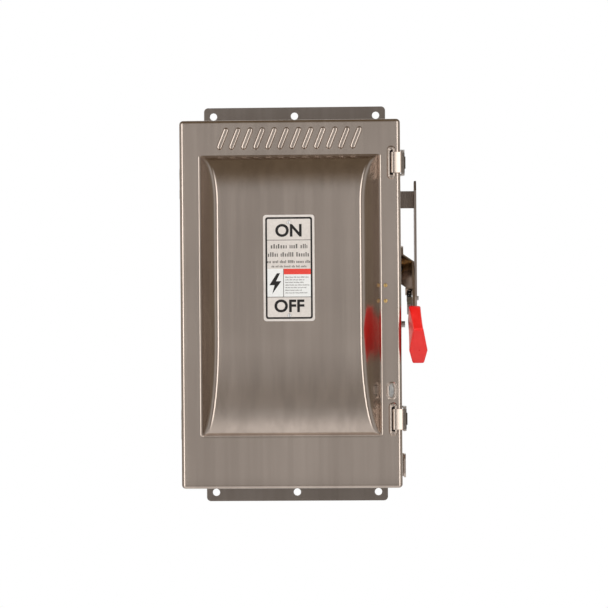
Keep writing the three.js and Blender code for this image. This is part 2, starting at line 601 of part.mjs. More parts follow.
function guard() {
  const x = armEnd + GAP;
  const out = x + GUARD.plate;
  const back = SHAFT.y + GUARD.back;
  const frontY = SHAFT.y - GUARD.front;
  const low = SHAFT.z - GUARD.bottom;
  const high = SHAFT.z + GUARD.top;
  const face = polygon([
    [back, low + 10], [back, high - 12], [back - 12, high], [frontY + 14, high],
    [frontY, high - 14], [frontY, low + 14], [frontY + 14, low], [back - 10, low],
  ]);
  const solids = [prism(face, 'x', [x, out])];
  const rivetAt = [SHAFT.y - GUARD_RIVET.forward, SHAFT.z - GUARD_RIVET.drop];
  const holes = [rod('x', GUARD_RIVET.shank + HOLE_PLAY, [x - 1, out + 1], ...rivetAt, 5)];
  for (const z of guardLegs) {
    const span = [z - GUARD_LEG.height / 2, z + GUARD_LEG.height / 2];
    solids.push(box([wallX, x + 1], [back - GUARD.plate, back], span));
    solids.push(box([wallX, wallX + GUARD.plate], [back - GUARD.plate, back + GUARD_LEG.foot], span));
    holes.push(rod('x', SCREW.shank + HOLE_PLAY, [wallX - 1, wallX + GUARD.plate + 1], guardScrewY, z, 6));
  }
  piece('handle_guard', cut(join(...solids), ...holes), FINISH.stainless);
  const head = wallX + GUARD.plate + GAP;
  guardLegs.forEach((z, i) => {
    const screw = join(
      rod('x', SCREW.shank, [bodyX - SCREW.length, head + 1], guardScrewY, z, 6),
      rod('x', SCREW.head, [head, head + SCREW.headHeight], guardScrewY, z, 3),
    );
    piece(`guard_screw_${['upper', 'lower'][i]}`, screw, FINISH.zinc);
  });
  const rivet = join(
    rod('x', GUARD_RIVET.shank, [x + 0.4, out + 1], ...rivetAt, 5),
    rod('x', GUARD_RIVET.head, [out + GAP, out + 2.6], ...rivetAt, 7),
  );
  piece('guard_rivet', rivet, FINISH.aluminium);
}

function stopStud() {
  const pin = join(
    rod('x', stud.shank, [bodyX - 6, wallX + 1], stud.y, stud.z, 6),
    rod('x', stud.radius, [wallX, wallX + stud.length], stud.y, stud.z, 8),
  );
  piece('stop_stud', pin, FINISH.zinc);
}

// ---------------------------------------------------------------- switch and fuses

const lineLow = SHAFT.z + 57;
const lineHigh = SHAFT.z + 127;
const lineFace = SHAFT.y + 27.6;
const fuseTop = SHAFT.z - FUSE.top;
const fuseBottom = fuseTop - FUSE.length;
const fuseFace = FUSE.y + 23.7;

function switchBase() {
  const across = [-baseHalf, baseHalf];
  const solids = [
    box(across, [lineFace, seat], [lineLow, lineHigh]),
    box(across, [SHAFT.y + 51, seat], [SHAFT.z - 22, lineLow + 1]),
  ];
  for (const x of [-postX, postX]) {
    const across = [x - POST.width / 2, x + POST.width / 2];
    solids.push(box(across, [SHAFT.y - POST.front, seat], [SHAFT.z - POST.half, SHAFT.z + POST.half]));
  }
  for (let i = 0; i < POLES - 1; i += 1) {
    const x = (poleX[i] + poleX[i + 1]) / 2;
    solids.push(box([x - 1.5, x + 1.5], [lineFace - 34, seat], [lineLow, lineHigh]));
  }
  const bore = rod('x', ROTOR.journal + 0.4, [-baseHalf - 9, baseHalf + 9], SHAFT.y, SHAFT.z);
  piece('switch_base', cut(join(...solids), bore), FINISH.redMoulded);
}

function lineJaw(number, pole) {
  const play = BLADE.sheet / 2 + 0.35;
  const jaw = join(
    box([-play - 4, play + 4], [SHAFT.y - 13, lineFace - GAP], [lineLow + 6, lineLow + 29]),
    box([-10, 10], [lineFace - GAP - 4, lineFace - GAP], [lineLow + 6, lineHigh - 4]),
    box([-11, 11], [SHAFT.y + 1, lineFace - GAP], [lineHigh - 30, lineHigh - 4]),
  );
  const mouth = box([-play, play], [SHAFT.y - 20, SHAFT.y + BLADE.width / 2 + 2], [lineLow, lineLow + 30]);
  const wireHole = rod('z', 6, [lineHigh - 22, lineHigh], 0, SHAFT.y + 12);
  piece(`line_jaw_${number}`, cut(jaw, mouth, wireHole), FINISH.copper, pole);
}

function rotor() {
  const bar = place(0, SHAFT.y, SHAFT.z, rad(BLADE.open));
  const square = postX - POST.width / 2 - 0.5;
  const slots = poleX.map((x) => box(
    [x - BLADE.sheet / 2 - GAP, x + BLADE.sheet / 2 + GAP],
    [-BLADE.width / 2 - GAP, BLADE.width / 2 + GAP],
    [-7 - GAP, ROTOR.half + 1],
  ));
  const body = join(
    box([-square, square], [-ROTOR.half, ROTOR.half], [-ROTOR.half, ROTOR.half]),
    rod('x', ROTOR.journal, [-postX - 6, postX + 6], 0, 0),
  );
  piece('rotor_bar', cut(body, ...slots), FINISH.blackMoulded, bar);
  poleX.forEach((x, i) => {
    const { width, length, sheet } = BLADE;
    const half = width / 2;
    const outline = polygon([
      [-half, -7], [half, -7], [half, length - 4], [half - 4, length], [-half, length],
    ]);
    piece(`blade_${i + 1}`, prism(outline, 'x', [x - sheet / 2, x + sheet / 2]), FINISH.copper, bar);
  });
}

function fusePole(number, pole) {
  const clip = ([low, high], strapTo, lug) => {
    const foot = Math.min(low, strapTo);
    const top = Math.max(high, strapTo);
    const solids = [
      rod('z', FUSE.radius + 2.1, [low, high], 0, FUSE.y),
      box([-8, 8], [FUSE.y, fuseFace - GAP], [low, high]),
      box([-8, 8], [fuseFace - GAP - 3, fuseFace - GAP], [foot, top]),
    ];
    if (lug) solids.push(box([-11, 11], [FUSE.y - 2, fuseFace - GAP], lug));
    const mouth = box([-7, 7], [FUSE.y - 20, FUSE.y - 3], [low - 1, high + 1]);
    const bore = rod('z', FUSE.radius + 0.35, [low - 1, high + 1], 0, FUSE.y);
    const shape = cut(join(...solids), bore, mouth);
    return lug ? cut(shape, rod('z', 6, [lug[0] - 1, lug[1] - 8], 0, FUSE.y + 9)) : shape;
  };
  const high = [fuseTop - FUSE.ferrule + 1, fuseTop - 1];
  const low = [fuseBottom + 1, fuseBottom + FUSE.ferrule - 1];
  piece(`fuse_clip_upper_${number}`, clip(high, fuseTop + 22, null), FINISH.copper, pole);
  const lug = [low[0] - FUSE.strap, low[0] - 12];
  piece(`fuse_clip_lower_${number}`, clip(low, lug[0], lug), FINISH.copper, pole);
  const fuse = join(
    rod('z', FUSE.barrel, [fuseBottom + 1, fuseTop - 1], 0, FUSE.y),
    rod('z', FUSE.radius, [fuseBottom, fuseBottom + FUSE.ferrule], 0, FUSE.y),
    rod('z', FUSE.radius, [fuseTop - FUSE.ferrule, fuseTop], 0, FUSE.y),
  );
  piece(`fuse_${number}`, fuse, FINISH.fuseTube, pole);
}

function fuseBase() {
  const low = fuseBottom - FUSE.strap - 4;
  const solids = [box([-baseHalf, baseHalf], [fuseFace, seat], [low, SHAFT.z - 30 - GAP])];
  for (let i = 0; i < POLES - 1; i += 1) {
    const x = (poleX[i] + poleX[i + 1]) / 2;
    solids.push(box([x - 1.5, x + 1.5], [FUSE.y - 6, seat], [low, fuseTop + 10]));
  }
  piece('fuse_base', join(...solids), FINISH.redMoulded);
}

function mechanism() {
  const { sheet } = MECHANISM;
  const left = shaftIn + MECHANISM.from;
  const right = left + MECHANISM.width;
  const low = SHAFT.z - MECHANISM.below;
  const high = SHAFT.z + TOGGLE.reach + MECHANISM.above;
  const pivot = { y: SHAFT.y - INTERLOCK.forward, z: SHAFT.z - INTERLOCK.drop };
  const anchor = SHAFT.z + TOGGLE.reach;
  const sidePlate = (x) => box([x, x + sheet], [SHAFT.y - MECHANISM.front, seat], [low, high]);
  const frame = join(
    box([left, right], [seat - sheet, seat], [low, high]),
    sidePlate(left),
    sidePlate(right - sheet),
    rod('x', TOGGLE.pin, [left + 1, right - 1], SHAFT.y, anchor, 7),
    rod('x', TOGGLE.pin, [right - 1, right + INTERLOCK.sheet + 1], pivot.y, pivot.z, 7),
  );
  const bore = rod('x', SHAFT.radius + 0.5, [left - 1, right + 1], SHAFT.y, SHAFT.z);
  piece('mechanism_frame', cut(frame, bore), FINISH.zinc);

  const reachY = CRANK.radius * Math.sin(rad(HANDLE.rest));
  const reachZ = TOGGLE.reach - CRANK.radius * Math.cos(rad(HANDLE.rest));
  const spring = place(0, SHAFT.y, anchor, -Math.atan2(reachY, reachZ));
  const springX = (left + sheet + right - sheet) / 2 + 3.5;
  const coil = join(
    rod('z', TOGGLE.radius, [-TOGGLE.length, -TOGGLE.from], springX, 0, 8),
    rod('x', TOGGLE.radius, [springX - 3, springX + 3], 0, 0, 8),
    box([springX - 3, springX + 3], [-3, 3], [-TOGGLE.from - 1, 0]),
  );
  const eye = rod('x', TOGGLE.pin + HOLE_PLAY, [springX - 5, springX + 5], 0, 0, 7);
  piece('toggle_spring', cut(coil, eye), FINISH.springSteel, spring);

  const x = right + GAP;
  const tip = -BODY.front + INTERLOCK.back;
  const bar = polygon([
    [pivot.y + 7, pivot.z - 7], [pivot.y + 7, pivot.z + 7],
    [pivot.y - 10, pivot.z + 7], [tip, pivot.z - 12],
    [tip, pivot.z - 30], [tip + 7, pivot.z - 30],
    [tip + 7, pivot.z - 19], [pivot.y - 10, pivot.z - 7],
  ]);
  const hole = rod('x', TOGGLE.pin + HOLE_PLAY, [x - 1, x + 4], pivot.y, pivot.z, 7);
  piece('interlock_lever', cut(prism(bar, 'x', [x, x + INTERLOCK.sheet]), hole), FINISH.zinc);
}

function arcShield() {
  const face = [lineFace - 46.6, lineFace - 44.6];
  const [low, high] = [lineLow - 2, lineHigh + 3];
  const side = baseHalf + GAP;
  const shield = join(
    box([-side - 2, side + 2], face, [low, high]),
    box([side, side + 2], [face[0], lineFace + 20], [lineLow, high]),
    box([-side - 2, -side], [face[0], lineFace + 20], [lineLow, high]),
  );
  const swept = [low - 1, SHAFT.z + BLADE.length + 6];
  const slots = poleX.map((x) => box([x - 5, x + 5], [face[0] - 1, face[1] + 1], swept));
  piece('arc_shield', cut(shield, ...slots), FINISH.clearShield);
}

function groundBar() {
  const { inset, width, rise, height, thick, screws, pitch } = GROUND;
  const x = -bodyX + inset;
  const low = -bodyZ + rise;
  const bar = box([x, x + width], [seat - thick, seat], [low, low + height]);
  const first = low + (height - (screws - 1) * pitch) / 2;
  const depth = [seat - thick - 1, seat - 4];
  const holes = Array.from({ length: screws }, (_, i) => (
    rod('y', 2.6, depth, x + width / 2, first + pitch * i, 5)
  ));
  piece('ground_bar', cut(bar, ...holes), FINISH.aluminium);
}

// ---------------------------------------------------------------- the whole

mountingPlate();
bodyPan();
door();
gasket();
nameplate();
hinge('upper', hingeZ);
hinge('lower', -hingeZ);
latch('upper', latchZ.upper);
latch('lower', latchZ.lower);
padlockHasp();
interlockRelease();
doorBracket();
handleArm();
handleGrip();
lockPlate();
shaft();
shaftBearing();
guard();
stopStud();
switchBase();
fuseBase();
rotor();
poleX.forEach((x, i) => {
  const pole = place(x, 0, 0);
  lineJaw(i + 1, pole);
  fusePole(i + 1, pole);
});
mechanism();
arcShield();
groundBar();

export default assembly;
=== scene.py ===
# %% [markdown]
# # A safety switch in a stainless box
# The object is a fused three-pole switch behind a domed sheet cover, worked by a lever with a red
# grip. Its working model, the frame, is loaded first: every piece made here takes its size and
# place from it, and rides on the frame's body that it belongs to.

# %% Load the frame
import json
import math

import bmesh
import bpy
import numpy as np
from mathutils import Matrix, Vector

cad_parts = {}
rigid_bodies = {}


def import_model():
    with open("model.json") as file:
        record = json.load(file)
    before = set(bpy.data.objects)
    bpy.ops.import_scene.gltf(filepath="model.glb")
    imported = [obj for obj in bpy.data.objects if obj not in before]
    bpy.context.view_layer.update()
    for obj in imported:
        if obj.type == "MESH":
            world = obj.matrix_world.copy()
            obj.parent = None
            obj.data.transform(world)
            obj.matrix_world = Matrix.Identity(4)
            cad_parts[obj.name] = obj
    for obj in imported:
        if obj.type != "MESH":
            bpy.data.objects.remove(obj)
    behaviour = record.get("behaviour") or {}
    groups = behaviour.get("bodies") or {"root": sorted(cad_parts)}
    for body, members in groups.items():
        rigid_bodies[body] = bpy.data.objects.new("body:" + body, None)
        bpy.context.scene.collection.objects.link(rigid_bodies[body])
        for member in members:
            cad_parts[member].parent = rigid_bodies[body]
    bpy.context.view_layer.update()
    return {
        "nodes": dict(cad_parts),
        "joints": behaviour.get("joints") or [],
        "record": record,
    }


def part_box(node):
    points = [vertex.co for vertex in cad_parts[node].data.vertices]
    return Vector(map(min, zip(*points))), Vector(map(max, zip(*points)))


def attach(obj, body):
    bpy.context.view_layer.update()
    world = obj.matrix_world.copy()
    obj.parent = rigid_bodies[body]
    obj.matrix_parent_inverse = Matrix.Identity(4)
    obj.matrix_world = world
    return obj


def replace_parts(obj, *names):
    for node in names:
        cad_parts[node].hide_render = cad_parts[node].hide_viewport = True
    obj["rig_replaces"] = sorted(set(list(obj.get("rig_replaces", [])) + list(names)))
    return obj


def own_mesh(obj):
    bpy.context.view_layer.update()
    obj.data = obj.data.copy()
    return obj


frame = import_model()
MM = 0.001
BODY_OF = {node: body for body, nodes in frame["record"]["behaviour"]["bodies"].items() for node in nodes}
SLOT_OF = {row["node"]: row["material_slot"] for row in frame["record"]["subparts"]}

# %% [markdown]
# ## Shader maths as arithmetic
# A material's node tree is hard to read when every sum is a node made by hand. One small class
# wraps a socket and adds a Math node for each operator, so that a mask reads as a formula. A second
# class makes any other node from its type, its settings and its sockets.

# %% A socket that can be added and multiplied
class Num:
    """A node socket. Each operator adds one Math node to the tree."""

    def __init__(self, tree, socket):
        self.tree = tree
        self.socket = socket

    def math(self, operation, first, second=None):
        node = self.tree.nodes.new("ShaderNodeMath")
        node.operation = operation
        plug(self.tree, node.inputs[0], first)
        if second is not None:
            plug(self.tree, node.inputs[1], second)
        return Num(self.tree, node.outputs[0])

    def __add__(self, other):
        return self.math("ADD", self, other)

    def __sub__(self, other):
        return self.math("SUBTRACT", self, other)

    def __rsub__(self, other):
        return self.math("SUBTRACT", other, self)

    def __mul__(self, other):
        return self.math("MULTIPLY", self, other)

    def step(self, low, high):
        """0 below low, 1 above high, and smooth between them."""
        node = self.tree.nodes.new("ShaderNodeMapRange")
        node.interpolation_type = "SMOOTHSTEP"
        plug(self.tree, node.inputs["Value"], self)
        node.inputs["From Min"].default_value = low
        node.inputs["From Max"].default_value = high
        return Num(self.tree, node.outputs["Result"])

    __radd__ = __add__
    __rmul__ = __mul__


def plug(tree, socket, value):
    """Links a wrapped socket, or sets a plain value."""
    if isinstance(value, Num):
        tree.links.new(value.socket, socket)
    else:
        socket.default_value = value


class Nodes:
    """Makes nodes in one tree: settings first, then the values or links of the sockets."""

    def __init__(self, tree):
        self.tree = tree

    def add(self, kind, settings=None, sockets=None, output=0):
        node = self.tree.nodes.new(kind)
        for name, value in (settings or {}).items():
            setattr(node, name, value)
        for name, value in (sockets or {}).items():
            plug(self.tree, node.inputs[name], value)
        return Num(self.tree, node.outputs[output])

    def noise(self, where, scale, detail=2.0, roughness=0.5):
        sockets = {"Vector": where, "Scale": scale, "Detail": detail, "Roughness": roughness}
        return self.add("ShaderNodeTexNoise", None, sockets)

    def stretched(self, scale, turn=(0, 0, 0)):
        """Object coordinates, scaled along each axis, so that noise becomes grain."""
        where = self.add("ShaderNodeTexCoord", output=3)
        return self.add("ShaderNodeMapping", None, {"Vector": where, "Scale": scale, "Rotation": turn})

    def mix(self, factor, first, second):
        node = self.tree.nodes.new("ShaderNodeMix")
        node.data_type = "RGBA"
        plug(self.tree, node.inputs[0], factor)
        plug(self.tree, node.inputs[6], first)
        plug(self.tree, node.inputs[7], second)
        return Num(self.tree, node.outputs[2])


def material(name, metallic, roughness, **settings):
    """A new material, its node maker and a function that feeds its shader."""
    made = bpy.data.materials.new(name)
    made.use_nodes = True
    shader = made.node_tree.nodes["Principled BSDF"]
    shader.inputs["Metallic"].default_value = metallic
    shader.inputs["Roughness"].default_value = roughness
    for socket, value in settings.items():
        shader.inputs[socket.replace("_", " ")].default_value = value

    def feed(socket, value):
        plug(made.node_tree, shader.inputs[socket], value)

    return made, Nodes(made.node_tree), feed


def rgb(red, green, blue):
    return (red, green, blue, 1.0)


def bump(nodes, height, distance, strength=1.0):
    sockets = {"Height": height, "Distance": distance, "Strength": strength}
    return nodes.add("ShaderNodeBump", None, sockets)


# %% [markdown]
# ## Stainless sheet
# The box is rolled stainless sheet with a fine vertical brushing. The brushing is noise that is
# a hundred times finer across the grain than along it. It drives the roughness and a very shallow
# bump. Two broader noises give the faint streaks and cloudy patches that handling leaves. The same
# sheet comes in several tones: bright, a darker and rougher copy, and two darker copies that are painted
# shade.

# %% Stainless steel
def stainless(name, dark, light, roughness):
    made, nodes, feed = material(name, 1.0, roughness)
    grain = nodes.noise(nodes.stretched((1500, 1500, 14)), 1.0, 3.0, 0.6)
    streak = nodes.noise(nodes.stretched((70, 70, 2.2)), 1.0, 2.0)
    cloud = nodes.noise(nodes.stretched((9, 9, 6)), 1.0, 3.0)
    tone = grain * 0.30 + streak.step(0.3, 0.7) * 0.40 + cloud.step(0.3, 0.7) * 0.30
    feed("Base Color", nodes.mix(tone, rgb(*dark), rgb(*light)))
    feed("Roughness", roughness + grain * 0.10 + cloud * 0.06)
    feed("Normal", bump(nodes, grain, 0.00003, 0.6))
    return made


# %% [markdown]
# ## The small metals
# Zinc-plated screws are bright with a faint blotchy spangle. Copper and brass darken in patches.
# Spring wire is oiled black. One function covers them all: two tones mixed by a noise, which also
# moves the roughness, because a tarnished patch isn't as smooth as a clean one.

# %% Plated and bare metals
def patchy_metal(name, dark, light, roughness, scale, spread=0.14):
    made, nodes, feed = material(name, 1.0, roughness)
    patch = nodes.noise(nodes.stretched((scale, scale, scale)), 1.0, 4.0, 0.6)
    fine = nodes.noise(nodes.stretched((900, 900, 900)), 1.0, 2.0)
    feed("Base Color", nodes.mix(patch.step(0.3, 0.7), rgb(*dark), rgb(*light)))
    feed("Roughness", roughness - spread / 2 + patch * spread)
    feed("Normal", bump(nodes, fine, 0.00003, 0.5))
    return made


# %% [markdown]
# ## Red vinyl, rubber and mouldings
# The grip is dipped vinyl: glossy, saturated, with a slight orange peel and a paler bloom. The
# insulating bases are thermoset mouldings, dull with fine dark flecks.

# %% Plastics and rubber
def red_vinyl():
    made, nodes, feed = material("red_vinyl", 0.0, 0.3, Coat_Weight=0.15, Coat_Roughness=0.12)
    bloom = nodes.noise(nodes.stretched((60, 60, 60)), 1.0, 3.0)
    peel = nodes.noise(nodes.stretched((420, 420, 420)), 1.0, 1.0)
    feed("Base Color", nodes.mix(bloom.step(0.35, 0.8), rgb(0.74, 0.009, 0.007), rgb(0.80, 0.022, 0.018)))
    feed("Roughness", 0.22 + bloom * 0.16)
    feed("Normal", bump(nodes, peel, 0.0002, 0.35))
    return made


def moulding(name, dark, light, roughness, fleck_scale=300, depth=0.0001):
    made, nodes, feed = material(name, 0.0, roughness)
    fleck = nodes.noise(nodes.stretched((fleck_scale,) * 3), 1.0, 3.0, 0.7)
    dust = nodes.noise(nodes.stretched((25, 25, 25)), 1.0, 3.0)
    feed("Base Color", nodes.mix(fleck.step(0.35, 0.7) * 0.7 + dust * 0.3, rgb(*dark), rgb(*light)))
    feed("Roughness", roughness - 0.06 + dust * 0.14)
    feed("Normal", bump(nodes, fleck, depth, 0.4))
    return made


# %% [markdown]
# ## All the finishes
# Each finish is kept under a name. Most names are those of the record's material slots, and a piece
# wears its slot's finish unless it has a look of its own. The other finishes are those looks and inks.

# %% Finishes by slot
FINISH = {
    "stainless": stainless("stainless", (0.490, 0.412, 0.360), (0.660, 0.562, 0.496), 0.13),
    # A darker, rougher copy of the same sheet, for the mounting plate.
    "darker_stainless": stainless("darker_stainless", (0.24, 0.203, 0.178), (0.31, 0.267, 0.239), 0.24),
    # Painted shade: a much darker copy of the sheet, for the latch claws' rolls and tabs.
    "deep_shade_stainless": stainless("deep_shade_stainless", (0.13, 0.11, 0.095), (0.21, 0.18, 0.155), 0.30),
    "shaded_stainless": stainless("shaded_stainless", (0.27, 0.22, 0.19), (0.42, 0.35, 0.31), 0.20),
    "zinc": patchy_metal("zinc_plate", (0.50, 0.50, 0.50), (0.70, 0.69, 0.66), 0.34, 160),
    "dark_steel": patchy_metal("dark_steel", (0.05, 0.05, 0.052), (0.11, 0.105, 0.10), 0.48, 120),
    "brass": patchy_metal("brass", (0.42, 0.27, 0.10), (0.68, 0.47, 0.20), 0.34, 240),
    "copper": patchy_metal("copper", (0.42, 0.19, 0.11), (0.80, 0.45, 0.32), 0.30, 90),
    "aluminium": patchy_metal("aluminium", (0.62, 0.62, 0.63), (0.80, 0.80, 0.80), 0.36, 120),
    "spring_steel": patchy_metal("spring_steel", (0.02, 0.02, 0.021), (0.07, 0.068, 0.065), 0.36, 200),
    "red_grip": red_vinyl(),
    "black_rubber": moulding("neoprene", (0.012, 0.012, 0.013), (0.035, 0.035, 0.036), 0.82, 600, 0.0003),
    "black_moulded": moulding("black_moulding", (0.014, 0.014, 0.015), (0.045, 0.044, 0.043), 0.5),
    "red_moulded": moulding("red_moulding", (0.15, 0.026, 0.018), (0.29, 0.065, 0.045), 0.52),
    "fuse_tube": moulding("fuse_tube", (0.50, 0.43, 0.28), (0.66, 0.60, 0.44), 0.6, 500),
    "clear_shield": moulding("barrier_sheet", (0.50, 0.47, 0.38), (0.68, 0.65, 0.56), 0.6, 400),
    "plate_print": moulding("plate_face", (0.51, 0.468, 0.435), (0.58, 0.535, 0.50), 0.42, 350, 0.00004),
    "print_white": moulding("white_ink", (0.60, 0.60, 0.59), (0.68, 0.68, 0.67), 0.45, 700, 0.00004),
    "print_black": moulding("black_ink", (0.004, 0.003, 0.003), (0.010, 0.008, 0.008), 0.75, 700, 0.00004),
    "print_red": moulding("red_ink", (0.55, 0.03, 0.02), (0.66, 0.06, 0.04), 0.45, 700, 0.00004),
    "print_grey": moulding("grey_ink", (0.085, 0.078, 0.072), (0.13, 0.12, 0.11), 0.6, 700, 0.00004),
}
print("finishes:", len(FINISH))

# %% [markdown]
# ## Surfaces from grids
# Every new piece is a grid of points: rows along one parameter, columns along the other. One
# function lists the grid's faces, and one puts points and faces into a mesh. A piece always rides
# on a body and fills a material slot, and it may stand for a node of the frame.

# %% Grids, meshes and pieces
def quads(rows, columns, closed_rows=False, closed_columns=False):
    """The four corners of each face of a grid of points that is stored row by row."""
    i = np.arange(rows if closed_rows else rows - 1)[:, None]
    j = np.arange(columns if closed_columns else columns - 1)[None, :]
    up, right = (i + 1) % rows, (j + 1) % columns
    corners = [i * columns + j, i * columns + right, up * columns + right, up * columns + j]
    return np.stack([np.broadcast_to(c, (i.size, j.size)) for c in corners], axis=-1).reshape(-1, 4)


SHARP = 38


def shade_smooth(mesh):
    """Smooth shading, with edges kept sharp where the faces turn by more than SHARP degrees."""
    mesh.polygons.foreach_set("use_smooth", [True] * len(mesh.polygons))
    mesh.set_sharp_from_angle(angle=math.radians(SHARP))


def make(name, points, faces, slot, merge=True, recalc=True):
    """A mesh object from an array of points and a list of faces, with doubles merged."""
    mesh = bpy.data.meshes.new(name)
    mesh.from_pydata(np.asarray(points, float).tolist(), [], [list(map(int, f)) for f in faces])
    obj = bpy.data.objects.new(name, mesh)
    bpy.context.scene.collection.objects.link(obj)
    work = bmesh.new()
    work.from_mesh(mesh)
    if merge:
        bmesh.ops.remove_doubles(work, verts=work.verts, dist=2e-6)
    if recalc:
        bmesh.ops.recalc_face_normals(work, faces=work.faces)
    work.to_mesh(mesh)
    work.free()
    shade_smooth(mesh)
    mesh.materials.append(FINISH[slot])
    return obj


def seat(obj, body, *nodes, slot):
    """The piece rides on a body and stands for the nodes, if any. The slot is not used."""
    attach(obj, body)
    if nodes:
        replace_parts(obj, *nodes)
    return obj


def refinish(obj, finish):
    """Another look for a piece, in place of its slot's finish."""
    obj.data.materials[0] = FINISH[finish]
    return obj


def bevel(obj, width, angle=SHARP):
    rounded = obj.modifiers.new("edges", "BEVEL")
    rounded.width = width
    rounded.segments = 2
    rounded.limit_method = "ANGLE"
    rounded.angle_limit = math.radians(angle)
    rounded.harden_normals = True


# %% [markdown]
# ## The cover's measures
# The cover is one deep-drawn sheet. Its outline, its front face and its hinge come from the frame.
# The dome's own sizes are the designer's: how high it stands and how it starts and ends.

# %% Measures of the cover
door_low, door_high = (np.array(corner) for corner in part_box("door"))
HALF_X = door_high[0]
HALF_Z = door_high[2]
DOME_HIGH = 40 * MM
FACE_Y = door_low[1] + DOME_HIGH
SHEET = 1.5 * MM
BEND = 5.5 * MM
SKIRT = 20 * MM
DOME_HALF = HALF_X - 29 * MM
DOME_TOP = HALF_Z - 50.5 * MM
DOME_BOTTOM = -HALF_Z + 74.5 * MM
CROWN = 68 * MM
SWEEP = 140 * MM
WALL_INSET = 24 * MM
SIDES = ("upper", "lower")
latch_z = {}
for side in SIDES:
    claw_low, claw_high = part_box(f"latch_claw_{side}")
    latch_z[side] = (claw_low[2] + claw_high[2]) / 2
SLOT_X = HALF_X - 12.5 * MM
release_low, release_high = (np.array(corner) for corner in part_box("interlock_release"))
RELEASE_X = HALF_X - 14.3 * MM
RELEASE_Z = (release_low[2] + release_high[2]) / 2
print("cover", 2 * HALF_X, "x", 2 * HALF_Z, "face at", round(FACE_Y, 4))

# %% [markdown]
# ## The drawn dome
# How high the dome stands is a function of x and z. Along z it is a quarter ellipse at the top, a
# longer one at the bottom, and level between. Across x it is a straight wall that leans inwards.
# The lower of the two counts, and a smooth minimum rounds the edge where they meet, as the press
# tool does. A smooth maximum with zero makes the fillet at the foot.

# %% The dome's height
EDGE_BLEND, FOOT_BLEND = 8 * MM, 3.2 * MM


def smooth_min(a, b, blend):
    """The lower of a and b, with a parabola of width "blend" where they cross."""
    h = np.clip(0.5 + 0.5 * (b - a) / blend, 0, 1)
    return b * (1 - h) + a * h - blend * h * (1 - h)


def dome_height(x, z):
    """Height over the flat face: an ellipse along z, a leaning wall across x."""
    crown = (z - (DOME_TOP - CROWN)) / CROWN
    sweep = ((DOME_BOTTOM + SWEEP) - z) / SWEEP
    over = np.maximum(np.maximum(crown, sweep), 0)
    along = np.where(over <= 1, DOME_HIGH * np.sqrt(np.clip(1 - over**2, 0, 1)), (1 - over) * SWEEP)
    across = (DOME_HALF - np.abs(x)) * DOME_HIGH / WALL_INSET
    return -smooth_min(-smooth_min(along, across, EDGE_BLEND), 0 * along, FOOT_BLEND)


# %% [markdown]
# ## The cover's shell
# The face is a grid whose lines crowd together where the dome starts and ends, so the steep parts
# get many faces and the flat parts few. Grid faces inside the slots are left out. The rim is a
# second grid: the face's border is carried outwards along its own normals through a quarter-round
# bend, then straight back as the skirt. Both share their border points, and a Solidify modifier
# gives the sheet its thickness.

# %% Grid lines and holes
def spread(*parts):
    return np.unique(np.round(np.concatenate([np.atleast_1d(p) for p in parts]), 6))


SLOT_HALF, SLOT_REACH = 2.5 * MM, 17 * MM
RELEASE_HALF, RELEASE_REACH = 4.2 * MM, 9.2 * MM
BOTH_WAYS = np.array([-1, 1])
quarter = np.linspace(0, math.pi / 2, 27)
top_curve = DOME_TOP - CROWN * (1 - np.cos(quarter))
bottom_curve = DOME_BOTTOM + SWEEP * (1 - np.cos(quarter))
foot = np.array([0.4, 0.9, 1.6, 2.6, 4]) * MM
flat_x, flat_z = HALF_X - BEND, HALF_Z - BEND
wall = np.linspace(DOME_HALF - WALL_INSET - 9 * MM, DOME_HALF + 4 * MM, 40)
slot_x = SLOT_X + BOTH_WAYS * SLOT_HALF
release_x = RELEASE_X + BOTH_WAYS * RELEASE_HALF
release_z = RELEASE_Z + BOTH_WAYS * RELEASE_REACH
slot_z = {side: z + BOTH_WAYS * SLOT_REACH for side, z in latch_z.items()}
xs = spread(-flat_x, flat_x, wall, -wall, np.linspace(-90, 90, 13) * MM, slot_x, release_x, 135 * MM)
zs = spread(
    -flat_z, flat_z, top_curve, bottom_curve, DOME_TOP + foot, DOME_BOTTOM - foot,
    np.linspace(DOME_BOTTOM + SWEEP, DOME_TOP - CROWN, 14), *slot_z.values(), release_z,
    np.linspace(DOME_TOP + 8 * MM, flat_z, 5), np.linspace(-flat_z, DOME_BOTTOM - 8 * MM, 5),
)


def cover_face():
    """Points (x, face - height, z) over the grid lines, without the faces that lie in a slot."""
    x, z = np.meshgrid(xs, zs)
    points = np.stack([x, FACE_Y - dome_height(x, z), z], axis=-1).reshape(-1, 3)
    faces = quads(len(zs), len(xs))
    middle = points[faces].mean(axis=1)

    def inside(across, up):
        return ((middle[:, 0] > across[0]) & (middle[:, 0] < across[1])
                & (middle[:, 2] > up[0]) & (middle[:, 2] < up[1]))

    holes = inside(release_x, release_z)
    for up in slot_z.values():
        holes = holes | inside(slot_x, up)
    return points, faces[~holes]


def border(fan=7):
    """The face's border, run once round, with each point's outward normal. They fan out at a corner."""
    starts, normals = [], []
    for side, line in enumerate((xs, zs, xs[::-1], zs[::-1])):
        turn = math.radians(90 * side - 90)
        out = np.array([math.cos(turn), math.sin(turn)])
        fixed = np.full(len(line), (flat_z if side % 2 == 0 else flat_x) * round(out.sum()))
        edge = np.stack([line, fixed] if side % 2 == 0 else [fixed, line], axis=1)
        angle = turn + np.linspace(0, math.pi / 2, fan + 1)[1:-1]
        starts += [edge, np.tile(edge[-1], (fan - 1, 1))]
        normals += [np.tile(out, (len(line), 1)), np.stack([np.cos(angle), np.sin(angle)], axis=1)]
    return np.vstack(starts), np.vstack(normals)


